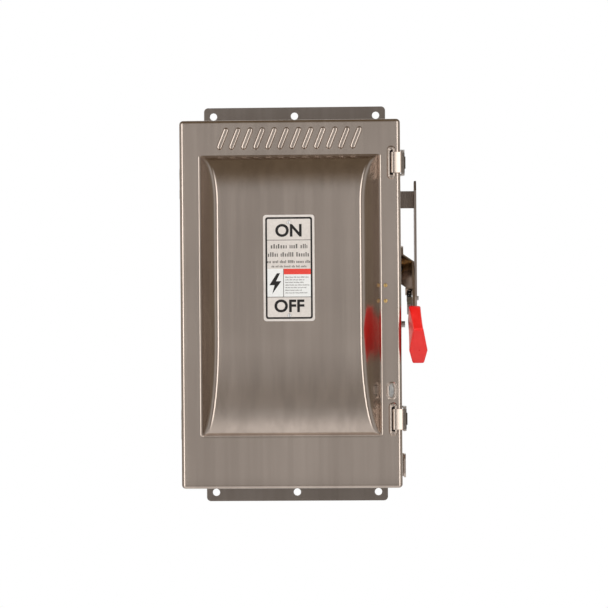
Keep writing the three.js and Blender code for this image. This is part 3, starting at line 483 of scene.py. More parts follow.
def cover_rim(steps=8):
    """The border carried round the bend: start + normal * R sin(a), set back by R (1 - cos(a))."""
    start, normal = border()
    rings = [np.insert(start + normal * BEND * math.sin(a), 1, FACE_Y + BEND * (1 - math.cos(a)), axis=1)
             for a in np.linspace(0, math.pi / 2, steps + 1)]
    rings.append(np.insert(start + normal * BEND, 1, FACE_Y + SKIRT, axis=1))
    return np.vstack(rings), quads(len(rings), len(start), closed_columns=True)[:, ::-1]


# %% Build the cover
face_points, face_quads = cover_face()
rim_points, rim_quads = cover_rim()
cover = make(
    "cover_shell",
    np.vstack([face_points, rim_points]),
    np.vstack([face_quads, rim_quads + len(face_points)]),
    "stainless", recalc=False,
)
thick = cover.modifiers.new("sheet", "SOLIDIFY")
thick.thickness = SHEET
thick.offset = -1
thick.use_even_offset = True
seat(cover, "cover", "door", slot="stainless")
print("cover faces:", len(cover.data.polygons))

# %% [markdown]
# ## Raised shapes on the cover
# The rims round the latch slots and the pressed ribs are racetracks: two half circles joined by
# straight sides. A profile of (offset, height) pairs is carried round the racetrack along its
# normals. For a rim, the profile ends down in the slot. For a rib, it closes over the middle line.

# %% Carry a profile round a racetrack
def racetrack(centre, reach, steps=14):
    """The middle line's end for each point, and the outward normal there."""
    centre, reach = np.array(centre, float), np.array(reach, float)
    start = math.atan2(reach[1], reach[0]) - math.pi / 2
    halves = np.linspace(0, math.pi, steps), np.linspace(math.pi, 2 * math.pi, steps)
    angle = start + np.concatenate(halves)
    ends = np.repeat([centre + reach, centre - reach], steps, axis=0)
    return ends, np.stack([np.cos(angle), np.sin(angle)], axis=1)


def carried(ends, normals, profile):
    """Rings of points end + normal * offset, each "height" in front of the face."""
    rings = [np.insert(ends + normals * offset, 1, FACE_Y - height, axis=1) for offset, height in profile]
    return np.vstack(rings), quads(len(rings), len(ends), closed_columns=True)


def soft_step(out_from, out_to, low, high, steps=7):
    """A profile that goes from low to high as a smooth S, 3t^2 - 2t^3, between two offsets."""
    t = np.linspace(0, 1, steps)
    return list(zip(out_from + (out_to - out_from) * t, low + (high - low) * (3 * t**2 - 2 * t**3)))


def slot_rim(name, centre, half_length, hole, width, high):
    """A raised rim: up from the flat face, over, and down into the slot."""
    ends, normals = racetrack(centre, (0, half_length))
    profile = soft_step(width + 1.4 * MM, width - 0.6 * MM, -0.05 * MM, high)
    profile += [(hole + 0.5 * MM, high), (hole + 0.12 * MM, high - 0.15 * MM), (hole, high - 0.5 * MM),
                (hole, -SHEET)]
    points, faces = carried(ends, normals, profile)
    return seat(make(name, points, faces, "stainless"), "cover", slot="stainless")


for side, z in latch_z.items():
    slot_rim(f"latch_slot_rim_{side}", (SLOT_X, z), 17.3 * MM, SLOT_HALF, 5 * MM, 2.4 * MM)
slot_rim("release_rim", (RELEASE_X, RELEASE_Z), 4.9 * MM, RELEASE_HALF, 6.4 * MM, 1.0 * MM)

# %% [markdown]
# ## Pressed ribs
# The band above the dome is pressed with a row of slanted ribs, which stiffen the sheet. They are a
# plain decoration of the builder's own. All of them are one piece.

# %% A row of slanted ribs
RIBS, RIB_PITCH, RIB_HALF, RIB_HIGH = 12, 17 * MM, 3.6 * MM, 1.7 * MM
RIB_REACH = np.array([4.6, 11.5]) * MM
RIB_Z = HALF_Z - 26 * MM
rib_points, rib_faces, count = [], [], 0
for i in range(RIBS):
    x = (i - (RIBS - 1) / 2) * RIB_PITCH
    ends, normals = racetrack((x, RIB_Z), RIB_REACH, 9)
    profile = soft_step(RIB_HALF + 0.7 * MM, RIB_HALF - 1.1 * MM, -0.05 * MM, RIB_HIGH, 6)
    profile += [(0.8 * MM, RIB_HIGH + 0.12 * MM), (0.0, RIB_HIGH + 0.14 * MM)]
    points, faces = carried(ends, normals, profile)
    rib_points.append(points)
    rib_faces.append(faces + count)
    count += len(points)
ribs = make("cover_ribs", np.vstack(rib_points), np.vstack(rib_faces), "stainless")
seat(ribs, "cover", slot="stainless")

# %% [markdown]
# ## Strips of sheet
# Hinge knuckles and latch claws are narrow strips of sheet, bent and rolled. Each is drawn as a
# path in the plane seen from above. The path is offset by half the sheet's thickness to each side,
# and the closed outline is carried up along z. A small bevel breaks the sheared edges.

# %% Sheet strip along a path
def arc(centre, radius, start, end, steps=14):
    angle = np.radians(np.linspace(start, end, steps))
    return np.stack([centre[0] + radius * np.cos(angle), centre[1] + radius * np.sin(angle)], axis=1)


SHEARED_EDGE = 0.25 * MM


def strip(name, path, thickness, low, high, body, nodes=()):
    """Outline = path +- normal * thickness / 2, carried from z = low to z = high."""
    path = np.asarray(path, float)
    tangent = np.gradient(path, axis=0)
    tangent /= np.linalg.norm(tangent, axis=1)[:, None]
    normal = np.stack([-tangent[:, 1], tangent[:, 0]], axis=1) * thickness / 2
    outline = np.vstack([path + normal, (path - normal)[::-1]])
    n = len(outline)
    rings = np.vstack([np.insert(outline, 2, z, axis=1) for z in (low, high)])
    bottom = [[i, i + 1, n - 2 - i, n - 1 - i] for i in range(len(path) - 1)]
    top = [[corner + n for corner in cap[::-1]] for cap in bottom]
    obj = make(name, rings, quads(2, n, closed_columns=True).tolist() + bottom + top, "stainless")
    bevel(obj, SHEARED_EDGE)
    return seat(obj, body, *nodes, slot="stainless")


# %% [markdown]
# ## Hinge knuckles and latch claws
# The knuckle is the skirt's own sheet, rolled round the hinge pin. A claw is made of three strips.
# The roll goes round its pin and runs forward past the cover's edge. The hook turns over that edge,
# slopes up to a crest and dips into the slot. The tab is the small lip that a thumb pushes.

# %% Knuckles of the cover
KNUCKLE, KNUCKLE_RADIUS, KNUCKLE_HALF = 1.2 * MM, 2.5 * MM, 7 * MM
skirt_x, skirt_end = -HALF_X + SHEET / 2, FACE_Y + SKIRT
for side in SIDES:
    low, high = (np.array(c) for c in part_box(f"hinge_pin_{side}"))
    pin = (low + high) / 2
    leaf_low, leaf_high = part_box(f"hinge_leaf_{side}")
    middle = (leaf_low[2] + leaf_high[2]) / 2
    turn = arc(pin, KNUCKLE_RADIUS, 190, 190 + 320, 26)
    lead = np.array([[skirt_x, skirt_end - 4 * MM], [skirt_x, skirt_end + 1 * MM]])
    strip(f"cover_knuckle_{side}", np.vstack([lead, turn]), KNUCKLE,
          middle - KNUCKLE_HALF, middle + KNUCKLE_HALF, "cover")

# %% Latch claws
CLAW, CLAW_BEND, CLAW_SLOPE = 1.8 * MM, 3.0 * MM, 16
ROLL_RADIUS, HOOK_BEND = 2.1 * MM, 2.2 * MM
slope = math.radians(CLAW_SLOPE)
crest_x = SLOT_X + 3.6 * MM
for side, z in latch_z.items():
    low, high = (np.array(c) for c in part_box(f"latch_pin_{side}"))
    pin = (low + high) / 2
    claw_low, claw_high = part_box(f"latch_claw_{side}")
    front = claw_low[1] + CLAW / 2
    shoulder_x = pin[0] - 1.4 * MM
    turn_x = shoulder_x - CLAW_BEND
    ramp = (turn_x + CLAW_BEND * math.sin(slope) - crest_x) * math.tan(slope)
    turn_y = front + ramp + CLAW_BEND * math.cos(slope)
    shoulder = [[shoulder_x, pin[1] - 4 * MM], [shoulder_x, turn_y]]
    roll = np.vstack([arc(pin, ROLL_RADIUS, 118, -120, 22), shoulder])
    hook = np.vstack([
        arc((turn_x, turn_y), CLAW_BEND, -6, CLAW_SLOPE - 90, 9),
        [[crest_x, front]],
        arc((SLOT_X + HOOK_BEND, front + HOOK_BEND), HOOK_BEND, -90, -172, 8),
        [[SLOT_X, FACE_Y + 0.2 * MM]],
    ])
    body = f"claw_{side}"
    strip(f"claw_hook_{side}", hook, CLAW, claw_low[2], claw_high[2], body, [f"latch_claw_{side}"])
    # The roll and the tab wear the deep painted shade, a darkened copy of the sheet.
    refinish(strip(f"claw_roll_{side}", roll, CLAW, claw_low[2], claw_high[2], body), "deep_shade_stainless")
    tab = np.array([[pin[0] + 1.6 * MM, pin[1]], [pin[0] + 4.2 * MM, pin[1]]])
    tab_ends = claw_low[2] + 6 * MM, claw_high[2] - 6 * MM
    refinish(strip(f"claw_tab_{side}", tab, CLAW, *tab_ends, body), "deep_shade_stainless")

# %% [markdown]
# ## Round pieces
# Screw heads, rivets and fuse parts are profiles turned about an axis: each profile point is a
# radius and a place along the axis. A profile is closed where it starts and ends on the axis, or
# where it comes back to its first point.

# %% Turned pieces
AXES = {"x": (1, 2, 0), "y": (2, 0, 1), "z": (0, 1, 2)}


def turned_points(profile, centre, axis, steps):
    """Rings of points centre + radius * (cos, sin) across the axis, at each place along it."""
    profile = np.asarray(profile, float)
    angle = np.linspace(0, 2 * math.pi, steps, endpoint=False)
    u, v, w = AXES[axis]
    points = np.zeros((len(profile), steps, 3))
    points[..., u] = profile[:, 0, None] * np.cos(angle)
    points[..., v] = profile[:, 0, None] * np.sin(angle)
    points[..., w] = profile[:, 1, None]
    return (points + np.asarray(centre)).reshape(-1, 3), quads(len(profile), steps, closed_columns=True)


def turned(name, profile, centre, axis, slot, body, *nodes, steps=32):
    points, faces = turned_points(profile, centre, axis, steps)
    return seat(make(name, points, faces, slot), body, *nodes, slot=slot)


def dome_head(radius, high, direction, foot=0.0, steps=7):
    """A shallow round head: an ellipse from its crown to its edge, then flat back to the axis."""
    a = np.linspace(0, math.pi / 2, steps)
    curve = [(radius * math.sin(t), direction * high * math.cos(t)) for t in a]
    return curve + [(radius, -direction * foot), (0, -direction * foot)]


# %% Rivets and brass screws
RIVET_RADIUS, RIVET_HIGH = 2.4 * MM, 0.8 * MM
BRASS_RADIUS, BRASS_HIGH, BRASS_LONG = 2.75 * MM, 0.7 * MM, 4.0 * MM
for side in SIDES:
    low, high = (np.array(c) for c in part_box(f"nameplate_rivet_{side}"))
    centre = ((low[0] + high[0]) / 2, low[1] + RIVET_HIGH, (low[2] + high[2]) / 2)
    profile = dome_head(RIVET_RADIUS, RIVET_HIGH, -1)
    turned(f"plate_rivet_{side}", profile, centre, "y", "aluminium", "cover", f"nameplate_rivet_{side}")
    low, high = (np.array(c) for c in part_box(f"bracket_screw_{side}"))
    centre = ((low[0] + high[0]) / 2, low[1] + BRASS_HIGH, (low[2] + high[2]) / 2)
    profile = dome_head(BRASS_RADIUS, BRASS_HIGH, -1, foot=BRASS_LONG)
    turned(f"brass_end_{side}", profile, centre, "y", "brass", "cover", f"bracket_screw_{side}")

# %% [markdown]
# ## Fuses
# A cartridge fuse is a tube of rolled melamine with a metal ferrule pressed over each end. The
# ferrules have rolled edges and a groove, which catch the light.

# %% Fuse tubes and ferrules
for number in (1, 2, 3):
    low, high = (np.array(c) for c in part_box(f"fuse_{number}"))
    x, y = (low[0] + high[0]) / 2, (low[1] + high[1]) / 2
    radius, length = (high[0] - low[0]) / 2, high[2] - low[2]
    tube_radius, tube_low, tube_high = radius * 0.95, 1 * MM, length - 1 * MM
    tube = [(0, tube_low), (tube_radius, tube_low), (tube_radius, tube_high), (0, tube_high)]
    turned(f"fuse_tube_{number}", tube, (x, y, low[2]), "z", "fuse_tube", "enclosure", f"fuse_{number}")
    groove = radius - 0.5 * MM
    ferrule = [(0, 0), (radius - 1.2 * MM, 0), (radius - 0.35 * MM, 0.35 * MM), (radius, 1.2 * MM),
               (radius, 8 * MM), (groove, 8.6 * MM), (groove, 9.6 * MM), (radius, 10.2 * MM),
               (radius, 13.4 * MM), (radius - 0.2 * MM, 13.9 * MM), (radius * 0.94, 14 * MM)]
    for end, place, flip in (("low", low[2], 1), ("high", high[2], -1)):
        profile = [(r, flip * h) for r, h in ferrule]
        turned(f"fuse_end_{number}_{end}", profile, (x, y, place), "z", "copper", "enclosure")

# %% [markdown]
# ## Springs
# A coil spring is a round wire carried along a helix. At each step the wire's ring stands across
# the helix's direction. The last turn at each end lies flat, as on a ground spring. The lock plate
# pushes its spring together, but here the coil keeps its rest length when the plate moves.

# %% Wire along a helix
def wire(path, radius, sides=8):
    """Rings of the wire's radius across the path, on axes set by the path and by the helix's own axis."""
    axis = path[-1] - path[0]
    tangent = np.gradient(path, axis=0)
    tangent /= np.linalg.norm(tangent, axis=1)[:, None]
    side = np.cross(tangent, axis)
    side /= np.linalg.norm(side, axis=1)[:, None]
    up = np.cross(tangent, side)
    angle = np.linspace(0, 2 * math.pi, sides, endpoint=False)
    rings = (path[:, None] + radius * (np.cos(angle)[None, :, None] * side[:, None]
                                       + np.sin(angle)[None, :, None] * up[:, None]))
    faces = quads(len(path), sides, closed_columns=True).tolist()
    last = (len(path) - 1) * sides
    faces += [list(range(sides))[::-1], [last + k for k in range(sides)]]
    return rings.reshape(-1, 3), faces


def coil(start, end, radius, wire_radius, turns):
    """A helix about the line from start to end. The pitch eases to nothing over each end turn."""
    start, end = np.asarray(start, float), np.asarray(end, float)
    along = end - start
    length = np.linalg.norm(along)
    along /= length
    across = np.cross(along, (1.0, 0.0, 0.0))
    across /= np.linalg.norm(across)
    other = np.cross(along, across)
    t = np.linspace(0, 1, int(turns * 26))
    edge = 1 / turns
    rise = np.clip((t - edge) / (1 - 2 * edge), 0, 1)
    rise = wire_radius + rise * (length - 2 * wire_radius)
    turn = 2 * math.pi * turns * t
    return (start + rise[:, None] * along + radius * np.cos(turn)[:, None] * across
            + radius * np.sin(turn)[:, None] * other)


def joint(name):
    return next(row for row in frame["joints"] if row["name"] == name)


# %% The lock plate's spring
# The lever's directions at rest: along its arm from the shaft outwards, and up across it.
ALONG = -np.array(joint("lock_slide")["axis"], float)
UP = np.array([0.0, ALONG[2], -ALONG[1]])
SHAFT_AT = np.array(joint("handle_swing")["pos_m"], float)


def on_lever(out, along, up):
    """A point from its x, its distance along the arm from the shaft, and its height across the arm."""
    place = SHAFT_AT + np.multiply.outer(along, ALONG) + np.multiply.outer(up, UP)
    place[..., 0] = out
    return place


low, high = (np.array(c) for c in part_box("lock_plate_spring"))
spring_x = (low[0] + high[0]) / 2
COIL_FROM, COIL_TO, LOCK_WIRE = 60.4 * MM, 79.8 * MM, 0.8 * MM
path = coil(on_lever(spring_x, COIL_FROM, 0), on_lever(spring_x, COIL_TO, 0), 3.0 * MM, LOCK_WIRE, 7)
points, faces = wire(path, LOCK_WIRE)
lock_coil = make("lock_coil", points, faces, "spring_steel")
seat(lock_coil, "lever", "lock_plate_spring", slot="spring_steel")
LOCK_TRAVEL = joint("lock_slide")["range_m"][1]
tuple(on_lever(spring_x, COIL_FROM, 0))
1 - LOCK_TRAVEL / (COIL_TO - COIL_FROM)
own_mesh(lock_coil)

# %% The toggle's spring and its eye
low, high = (np.array(c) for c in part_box("toggle_spring"))
anchor = np.array(joint("toggle_swing")["pos_m"], float)
anchor[0] = (low[0] + high[0]) / 2
crank_pin = on_lever(anchor[0], 0, 22 * MM)
line = (crank_pin - anchor) / np.linalg.norm(crank_pin - anchor)
TOGGLE_WIRE = 0.9 * MM
path = coil(anchor + line * 5.2 * MM, anchor + line * 33.5 * MM, 3.9 * MM, TOGGLE_WIRE, 9)
points, faces = wire(path, TOGGLE_WIRE)
seat(make("toggle_coil", points, faces, "spring_steel"), "toggle", "toggle_spring", slot="spring_steel")
EYE_BORE, EYE_RADIUS, EYE_HALF = 2.9 * MM, 4.9 * MM, 1.6 * MM
eye = [(EYE_BORE, -EYE_HALF), (EYE_RADIUS, -EYE_HALF), (EYE_RADIUS, EYE_HALF), (EYE_BORE, EYE_HALF),
       (EYE_BORE, -EYE_HALF)]
turned("toggle_eye", eye, anchor, "x", "spring_steel", "toggle")
print("springs made")

# %% [markdown]
# ## The grip
# The hand grip is a six-sided paddle of dipped vinyl that widens towards its end. Its section is a
# hexagon whose corners are rounded off, given by half widths at the top, at the widest line and at
# the bottom. The sections follow each other along the arm, and the last few shrink inwards round a
# quarter circle, so that the end face has a soft edge too.

# %% A polygon with rounded corners
def rounded(corners, radius, steps=6):
    """Each corner becomes an arc that touches both of its sides. The arcs run round in order."""
    corners = np.asarray(corners, float)
    before, after = np.roll(corners, 1, axis=0) - corners, np.roll(corners, -1, axis=0) - corners
    before /= np.linalg.norm(before, axis=1)[:, None]
    after /= np.linalg.norm(after, axis=1)[:, None]
    half = np.arccos(np.clip((before * after).sum(axis=1), -1, 1)) / 2
    middle = before + after
    middle /= np.linalg.norm(middle, axis=1)[:, None]
    centre = corners + middle * (radius / np.sin(half))[:, None]
    t = np.linspace(-1, 1, steps)[None, :] * (math.pi / 2 - half)[:, None]
    across = np.stack([-middle[:, 1], middle[:, 0]], axis=1)
    sign = np.sign((across * after).sum(axis=1))[:, None]
    points = (centre[:, None] - radius * np.cos(t)[..., None] * middle[:, None]
              + radius * (np.sin(t) * sign)[..., None] * across[:, None])
    return points.reshape(-1, 2)


def hexagon(high, top, widest, bottom):
    """Six corners (out, up): the widest line lies a little under the middle."""
    line = -0.27 * high
    return [(widest, line), (top, high), (-top, high), (-widest, line), (-bottom, -high), (bottom, -high)]


# %% Build the grip
arm_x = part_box("handle_arm")[1][0] - 3.2 * MM
GRIP_FROM, GRIP_END, GRIP_SOFT, ROOT_SOFT = 113 * MM, 176.2 * MM, 2.6 * MM, 1.6 * MM
GRIP_HOLLOW, GRIP_CORNER = 0.5 * MM, 2.4 * MM
# Each end's middle line, half height, and half widths at the top, the widest line and the bottom.
ROOT = np.array([2.7, 21, 8, 9.5, 7.5]) * MM
TIP = np.array([7, 32, 6.75, 12.8, 8]) * MM


def grip_ring(t, inset, along):
    """The section at share t of the way from root to tip, shrunk by the inset on every side."""
    out, high, top, widest, bottom = ROOT + (TIP - ROOT) * t
    ends = inset * 0.8
    outline = rounded(hexagon(high - inset, top - ends, widest - inset, bottom - ends), GRIP_CORNER)
    return on_lever(arm_x + out + outline[:, 0], np.full(len(outline), along), outline[:, 1])


quarter_turn = np.linspace(0, math.pi / 2, 6)
rings = [grip_ring(0, ROOT_SOFT * (1 - math.sin(a)), GRIP_FROM + ROOT_SOFT * (1 - math.cos(a)))
         for a in quarter_turn]
for t in np.linspace(0.03, 0.96, 12):
    hollow = GRIP_HOLLOW * math.sin(math.pi * t)
    rings.append(grip_ring(t, hollow, GRIP_FROM + t * (GRIP_END - GRIP_FROM)))
rings += [grip_ring(1, GRIP_SOFT * (1 - math.cos(a)), GRIP_END - GRIP_SOFT * (1 - math.sin(a)))
          for a in quarter_turn]
count = len(rings[0])
faces = quads(len(rings), count, closed_columns=True).tolist()
faces += [list(range(count))[::-1], list(range((len(rings) - 1) * count, len(rings) * count))]
seat(make("vinyl_grip", np.vstack(rings), faces, "red_grip"), "lever", "handle_grip", slot="red_grip")
print("grip rings:", len(rings))

# %% [markdown]
# ## The printed plate
# The pale plate on the dome says which way the lever goes. Ink is a real thin layer here: each
# printed shape is a flat solid a few hundredths of a millimetre high on the plate, so it needs no
# image. The small print is only rows of short bars, and the sign is a plain lightning bolt.

# %% Ink as thin solids
plate_low, plate_high = (np.array(c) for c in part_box("nameplate"))
PLATE_W, PLATE_H = plate_high[0] - plate_low[0], plate_high[2] - plate_low[2]
PLATE_Z = (plate_high[2] + plate_low[2]) / 2
INK_Y = plate_low[1]
INK = 0.06 * MM


def rectangle(x, z, width, height):
    return np.array([[x, z], [x + width, z], [x + width, z + height], [x, z + height]])


def ink(name, outlines, slot, layer=1):
    """Each outline (x, z) from the plate's middle becomes a prism that stands out by a layer."""
    points, faces, count = [], [], 0
    for outline in outlines:
        outline = np.asarray(outline, float) + (0, PLATE_Z)
        n = len(outline)
        points += [np.insert(outline, 1, y, axis=1) for y in (INK_Y - INK * layer, INK_Y + INK)]
        front = list(range(count, count + n))
        faces += [front, [k + n for k in front[::-1]]] + (quads(2, n, closed_columns=True) + count).tolist()
        count += 2 * n
    return seat(make(name, np.vstack(points), faces, slot, merge=False), "cover", slot=slot)


def rounded_box(width, height, corner):
    x, z = width / 2, height / 2
    return rounded([(x, z), (-x, z), (-x, -z), (x, -z)], corner, 8)


def ink_frame(name, width, height, corner, line, slot):
    """A closed line: the ring between a rounded box and a smaller one."""
    outer = rounded_box(width, height, corner) + (0, PLATE_Z)
    inner = rounded_box(width - 2 * line, height - 2 * line, corner - line * 0.6) + (0, PLATE_Z)
    front, back = INK_Y - INK, INK_Y + INK
    loops = [(outer, back), (outer, front), (inner, front), (inner, back)]
    rings = np.vstack([np.insert(loop, 1, y, axis=1) for loop, y in loops])
    return seat(make(name, rings, quads(4, len(outer), True, True), slot), "cover", slot=slot)


def lettering(name, words, height, z, slot):
    """Bold upright letters, centred on the plate, made a mesh and then set in place."""
    curve = bpy.data.curves.new(name, "FONT")
    curve.body = words
    curve.align_x = "CENTER"
    curve.align_y = "CENTER"
    curve.size = height * 1.38
    curve.offset = height * 0.042
    curve.space_character = 1.02
    curve.extrude = INK
    typed = bpy.data.objects.new(name + "_type", curve)
    bpy.context.scene.collection.objects.link(typed)
    bpy.context.view_layer.update()
    mesh = bpy.data.meshes.new_from_object(typed.evaluated_get(bpy.context.evaluated_depsgraph_get()))
    bpy.data.objects.remove(typed)
    flat = np.zeros(len(mesh.vertices) * 3)
    mesh.vertices.foreach_get("co", flat)
    flat = flat.reshape(-1, 3)
    placed = np.stack([flat[:, 0], INK_Y - flat[:, 2], flat[:, 1] + PLATE_Z + z], axis=1)
    faces = [list(face.vertices) for face in mesh.polygons]
    return seat(make(name, placed, faces, slot), "cover", slot=slot)


# %% [markdown]
# ## Laying out the plate
# The plate reads from the top: ON, four rows of small print, a white label with a sign, a red bar
# and more small print, and OFF. The rows of small print are drawn from a seeded random generator,
# so they look like words but say nothing.

# %% Print the plate
random = np.random.default_rng(7)
INNER_W = PLATE_W - 10.6 * MM
TOP_LINE, BOTTOM_LINE = 38.2 * MM, -40.6 * MM
SPLIT_Z, SPLIT_X = -1.2 * MM, -7.2 * MM
border_box = PLATE_W - 6 * MM, PLATE_H - 6.2 * MM
refinish(ink_frame("plate_border", *border_box, 3.4 * MM, 2.5 * MM, "plate_print"), "print_black")


def small_print(x, z, width, height, weight=0.62):
    """A row of bars like words: each word is a few bars of letter width with thin gaps."""
    bars, place = [], x
    while place < x + width - height:
        for _ in range(random.integers(3, 8)):
            letter = height * random.uniform(0.35, 0.62)
            tall = height * random.choice([0.72, 0.72, 1.0])
            bars.append(rectangle(place, z, letter * weight, tall))
            place += letter
            if place > x + width:
                break
        place += height * 0.45
    return bars


RULE = 0.9 * MM
lines = [rectangle(-INNER_W / 2, z, INNER_W, RULE) for z in (TOP_LINE, BOTTOM_LINE)]
lines.append(rectangle(SPLIT_X - RULE, BOTTOM_LINE, RULE, SPLIT_Z - BOTTOM_LINE))
refinish(ink("plate_lines", lines, "plate_print"), "print_grey")
label = rectangle(-INNER_W / 2, BOTTOM_LINE, INNER_W, SPLIT_Z - BOTTOM_LINE)
refinish(ink("label_ground", [label], "plate_print", layer=0.5), "print_white")
heading = small_print(-25 * MM, 27.0 * MM, 50 * MM, 6.2 * MM, 0.58)
heading += small_print(-29 * MM, 15.6 * MM, 56 * MM, 6.2 * MM, 0.58)
heading += small_print(-30 * MM, 6.8 * MM, 60 * MM, 4.0 * MM)
heading += small_print(-24 * MM, 0.8 * MM, 48 * MM, 3.0 * MM)
notes = []
for row in range(7):
    row_z, row_width = -13.6 * MM - row * 3.6 * MM, 33 * MM - (row % 3) * 4 * MM
    notes += small_print(SPLIT_X + 2 * MM, row_z, row_width, 1.7 * MM)
refinish(ink("small_print", heading + notes, "plate_print"), "print_grey")
red_bar = rectangle(SPLIT_X, -8.9 * MM, INNER_W / 2 - SPLIT_X, 7.7 * MM)
refinish(ink("red_bar", [red_bar], "plate_print"), "print_red")
BOLT = np.array([[1.5, 13], [-8, -2], [-1.5, -2], [-4.5, -13], [7, 3], [0.5, 3], [5.5, 13]]) * MM
refinish(ink("bolt_sign", [BOLT * 1.1 + (-18.5 * MM, -21.5 * MM)], "plate_print"), "print_black")
for word, z in (("ON", 51.0 * MM), ("OFF", -53.4 * MM)):
    refinish(lettering(f"word_{word.lower()}", word, 17 * MM, z, "plate_print"), "print_black")
print("plate printed")

# %% [markdown]
# ## Everything else keeps its own shape
# The other nodes are right as they are, but a real sheet has no knife edges: a broken edge is what
# catches the light. Each is copied, its loose triangles are merged, and a Bevel modifier rounds its
# sharp edges. The width of the round, in mm, depends on how the piece is made: sheet, bar or
# moulding. Two pieces have a look of their own.

# %% Round the edges of the frame's own pieces
EDGE = {"stainless": 0.35, "zinc": 0.3, "dark_steel": 0.4, "brass": 0.3, "copper": 0.25, "aluminium": 0.4,
        "spring_steel": 0.3, "red_grip": 1.0, "black_rubber": 0.5, "black_moulded": 0.6, "red_moulded": 0.8,
        "fuse_tube": 0.3, "clear_shield": 0.2, "plate_print": 0.2}
# The mounting plate wears the darker, rougher copy of the sheet, and the handle guard wears the painted
# shade.
LOOK = {"mounting_plate": "darker_stainless", "handle_guard": "shaded_stainless"}
replaced = {node for obj in bpy.data.objects for node in obj.get("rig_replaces", [])}


def refined(node):
    """A copy of the node with merged points, whole flat faces and rounded edges."""
    mesh = frame["nodes"][node].data.copy()
    work = bmesh.new()
    work.from_mesh(mesh)
    bmesh.ops.remove_doubles(work, verts=work.verts, dist=1e-5)
    bmesh.ops.dissolve_limit(work, angle_limit=math.radians(1), verts=work.verts, edges=work.edges)
    work.to_mesh(mesh)
    work.free()
    obj = bpy.data.objects.new(f"{node}_finished", mesh)
    bpy.context.scene.collection.objects.link(obj)
    mesh.materials.clear()
    mesh.materials.append(FINISH[LOOK.get(node, SLOT_OF[node])])
    shade_smooth(mesh)
    bevel(obj, EDGE[SLOT_OF[node]] * MM, angle=50)
    return seat(obj, BODY_OF[node], node, slot=SLOT_OF[node])


kept_nodes = sorted(set(frame["nodes"]) - replaced)
for node in kept_nodes:
    refined(node)
print("refined:", len(kept_nodes))

# %% [markdown]
# ## Studio
# Polished sheet shows the room more than itself, so most of the look comes from what it reflects.
# The surroundings are worked out from the direction of each reflected ray. "ahead" is the share of
# the ray's level part that points to the camera's side: 1 straight at it, 0 to the left or right, and
# -1 to the back. There is a mid grey behind the camera, a bright strip at each side of it, dim walls
# further round, a paler line low down, little light overhead and a pale floor. The back is lit too,
# for the edges that turn away. Rays that come straight from the camera see plain white.

# %% Surroundings by direction
world = bpy.data.worlds.new("studio")
bpy.context.scene.world = world
world.use_nodes = True
tree = world.node_tree
maker = Nodes(tree)
direction = maker.add("ShaderNodeTexCoord", output=0)
parts = tree.nodes.new("ShaderNodeSeparateXYZ")
tree.links.new(direction.socket, parts.inputs[0])
to_x, to_y, to_z = (Num(tree, parts.outputs[i]) for i in range(3))
level = to_x.math("SQRT", to_x * to_x + to_y * to_y)
ahead = to_x.math("DIVIDE", 0 - to_y, level)
behind_camera = ahead.step(0.94, 0.985)
side_strip = (1 - ahead.step(0.91, 0.955)) * ahead.step(0.60, 0.78)
behind_object = to_y.step(0.55, 0.95)
down = 0 - to_z
skirting = down.step(0.045, 0.065) * (1 - down.step(0.075, 0.12))
dim_back = 1 - ahead.step(-0.25, 0.45)
dim_sides = ahead.step(-0.35, 0.0) * (1 - ahead.step(0.3, 0.55))
lit = behind_camera * (0.32 - down.step(0.1, 0.4) * 0.10 + skirting * 0.13) + side_strip * 2.3
lit = lit + dim_back * 0.10 + dim_sides * 0.30
lit = lit * (1 - to_z.step(0.28, 0.9)) + to_z.step(0.4, 0.95) * 0.07
floor_glow = down.step(0.5, 1.0)
lit = lit * (1 - floor_glow) + floor_glow * 0.70 + behind_object * 0.7
room = maker.mix(lit.step(0.0, 0.3), rgb(0.85, 0.64, 0.40), rgb(1.0, 0.99, 0.97))
seen = tree.nodes.new("ShaderNodeLightPath")
camera_ray = Num(tree, seen.outputs["Is Camera Ray"])
background = tree.nodes["Background"]
plug(tree, background.inputs["Color"], maker.mix(camera_ray, room, rgb(1.0, 1.0, 1.0)))
plug(tree, background.inputs["Strength"], camera_ray + (1 - camera_ray) * (lit + 0.12))

# %% [markdown]
# ## Lights, floor and camera
# Two broad lights stand to the sides and one hangs overhead. They light paint, plastic and the floor,
# but aren't seen in the metal, where each would draw a bright line along every bend. The floor isn't
# seen in it either. The camera stands three metres off with a long lens, at the height of the box's
# middle, a little to its right.


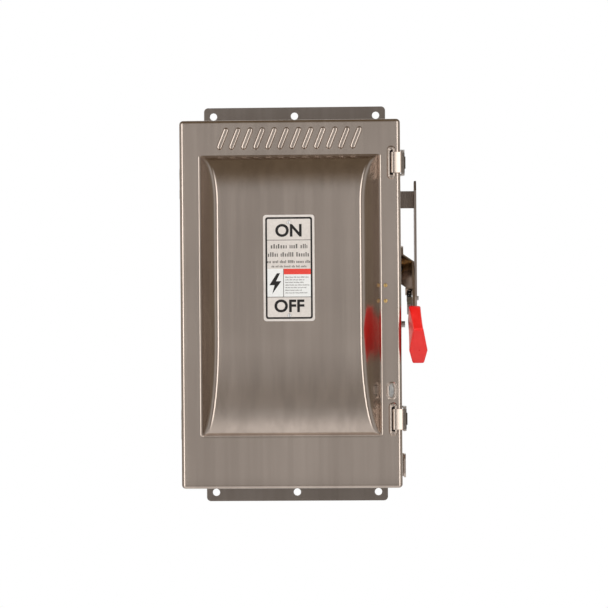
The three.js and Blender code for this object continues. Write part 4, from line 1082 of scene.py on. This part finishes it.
# %% Lights
def area_light(name, place, size, power):
    """A square light at place, pointing at the box's middle."""
    data = bpy.data.lights.new(name, "AREA")
    data.size = size
    data.energy = power
    lamp = bpy.data.objects.new(name, data)
    lamp.location = place
    x, y, z = np.array([0, -0.1, 0]) - np.array(place)
    lamp.rotation_euler = (math.atan2(math.hypot(x, y), -z), 0, math.atan2(x, -y) + math.pi)
    lamp.visible_glossy = False
    bpy.context.scene.collection.objects.link(lamp)


area_light("left_softbox", (-2.2, -2.0, 0.6), 1.2, 26)
area_light("right_softbox", (2.3, -1.6, 0.5), 1.2, 24)
area_light("overhead", (0.2, -1.2, 2.4), 1.4, 30)

# %% Floor
FLOOR_RADIUS, FLOOR_Z, FLOOR_SIDES = 2.2, -0.85, 64
angle = np.linspace(0, 2 * math.pi, FLOOR_SIDES, endpoint=False)
level_z = np.full(FLOOR_SIDES, FLOOR_Z)
disc = np.stack([FLOOR_RADIUS * np.cos(angle), FLOOR_RADIUS * np.sin(angle), level_z], axis=1)
floor_mesh = bpy.data.meshes.new("floor")
floor_mesh.from_pydata(disc.tolist(), [], [list(range(FLOOR_SIDES))])
floor = bpy.data.objects.new("floor", floor_mesh)
bpy.context.scene.collection.objects.link(floor)
pale, nodes, feed = material("pale_floor", 0.0, 0.7)
patch = nodes.noise(nodes.stretched((3, 3, 3)), 1.0)
feed("Base Color", nodes.mix(patch, rgb(0.84, 0.84, 0.83), rgb(0.9, 0.9, 0.9)))
floor_mesh.materials.append(pale)
floor.visible_glossy = False

# %% Camera
DISTANCE = 3.15
AZIMUTH = math.radians(2.2)
ROLL = math.radians(-0.45)
camera_data = bpy.data.cameras.new("camera")
camera_data.lens = 133.2
camera_data.sensor_width = 36.0
camera = bpy.data.objects.new("camera", camera_data)
bpy.context.scene.collection.objects.link(camera)
target = np.array([0.0188, FACE_Y, 0.0])
camera.location = target + DISTANCE * np.array([math.sin(AZIMUTH), -math.cos(AZIMUTH), 0])
camera.rotation_mode = "XYZ"
upright = Matrix.Rotation(AZIMUTH, 4, "Z") @ Matrix.Rotation(math.radians(90), 4, "X")
camera.rotation_euler = (upright @ Matrix.Rotation(ROLL, 4, "Z")).to_euler()
bpy.context.scene.camera = camera
bpy.context.scene.view_settings.view_transform = "Standard"
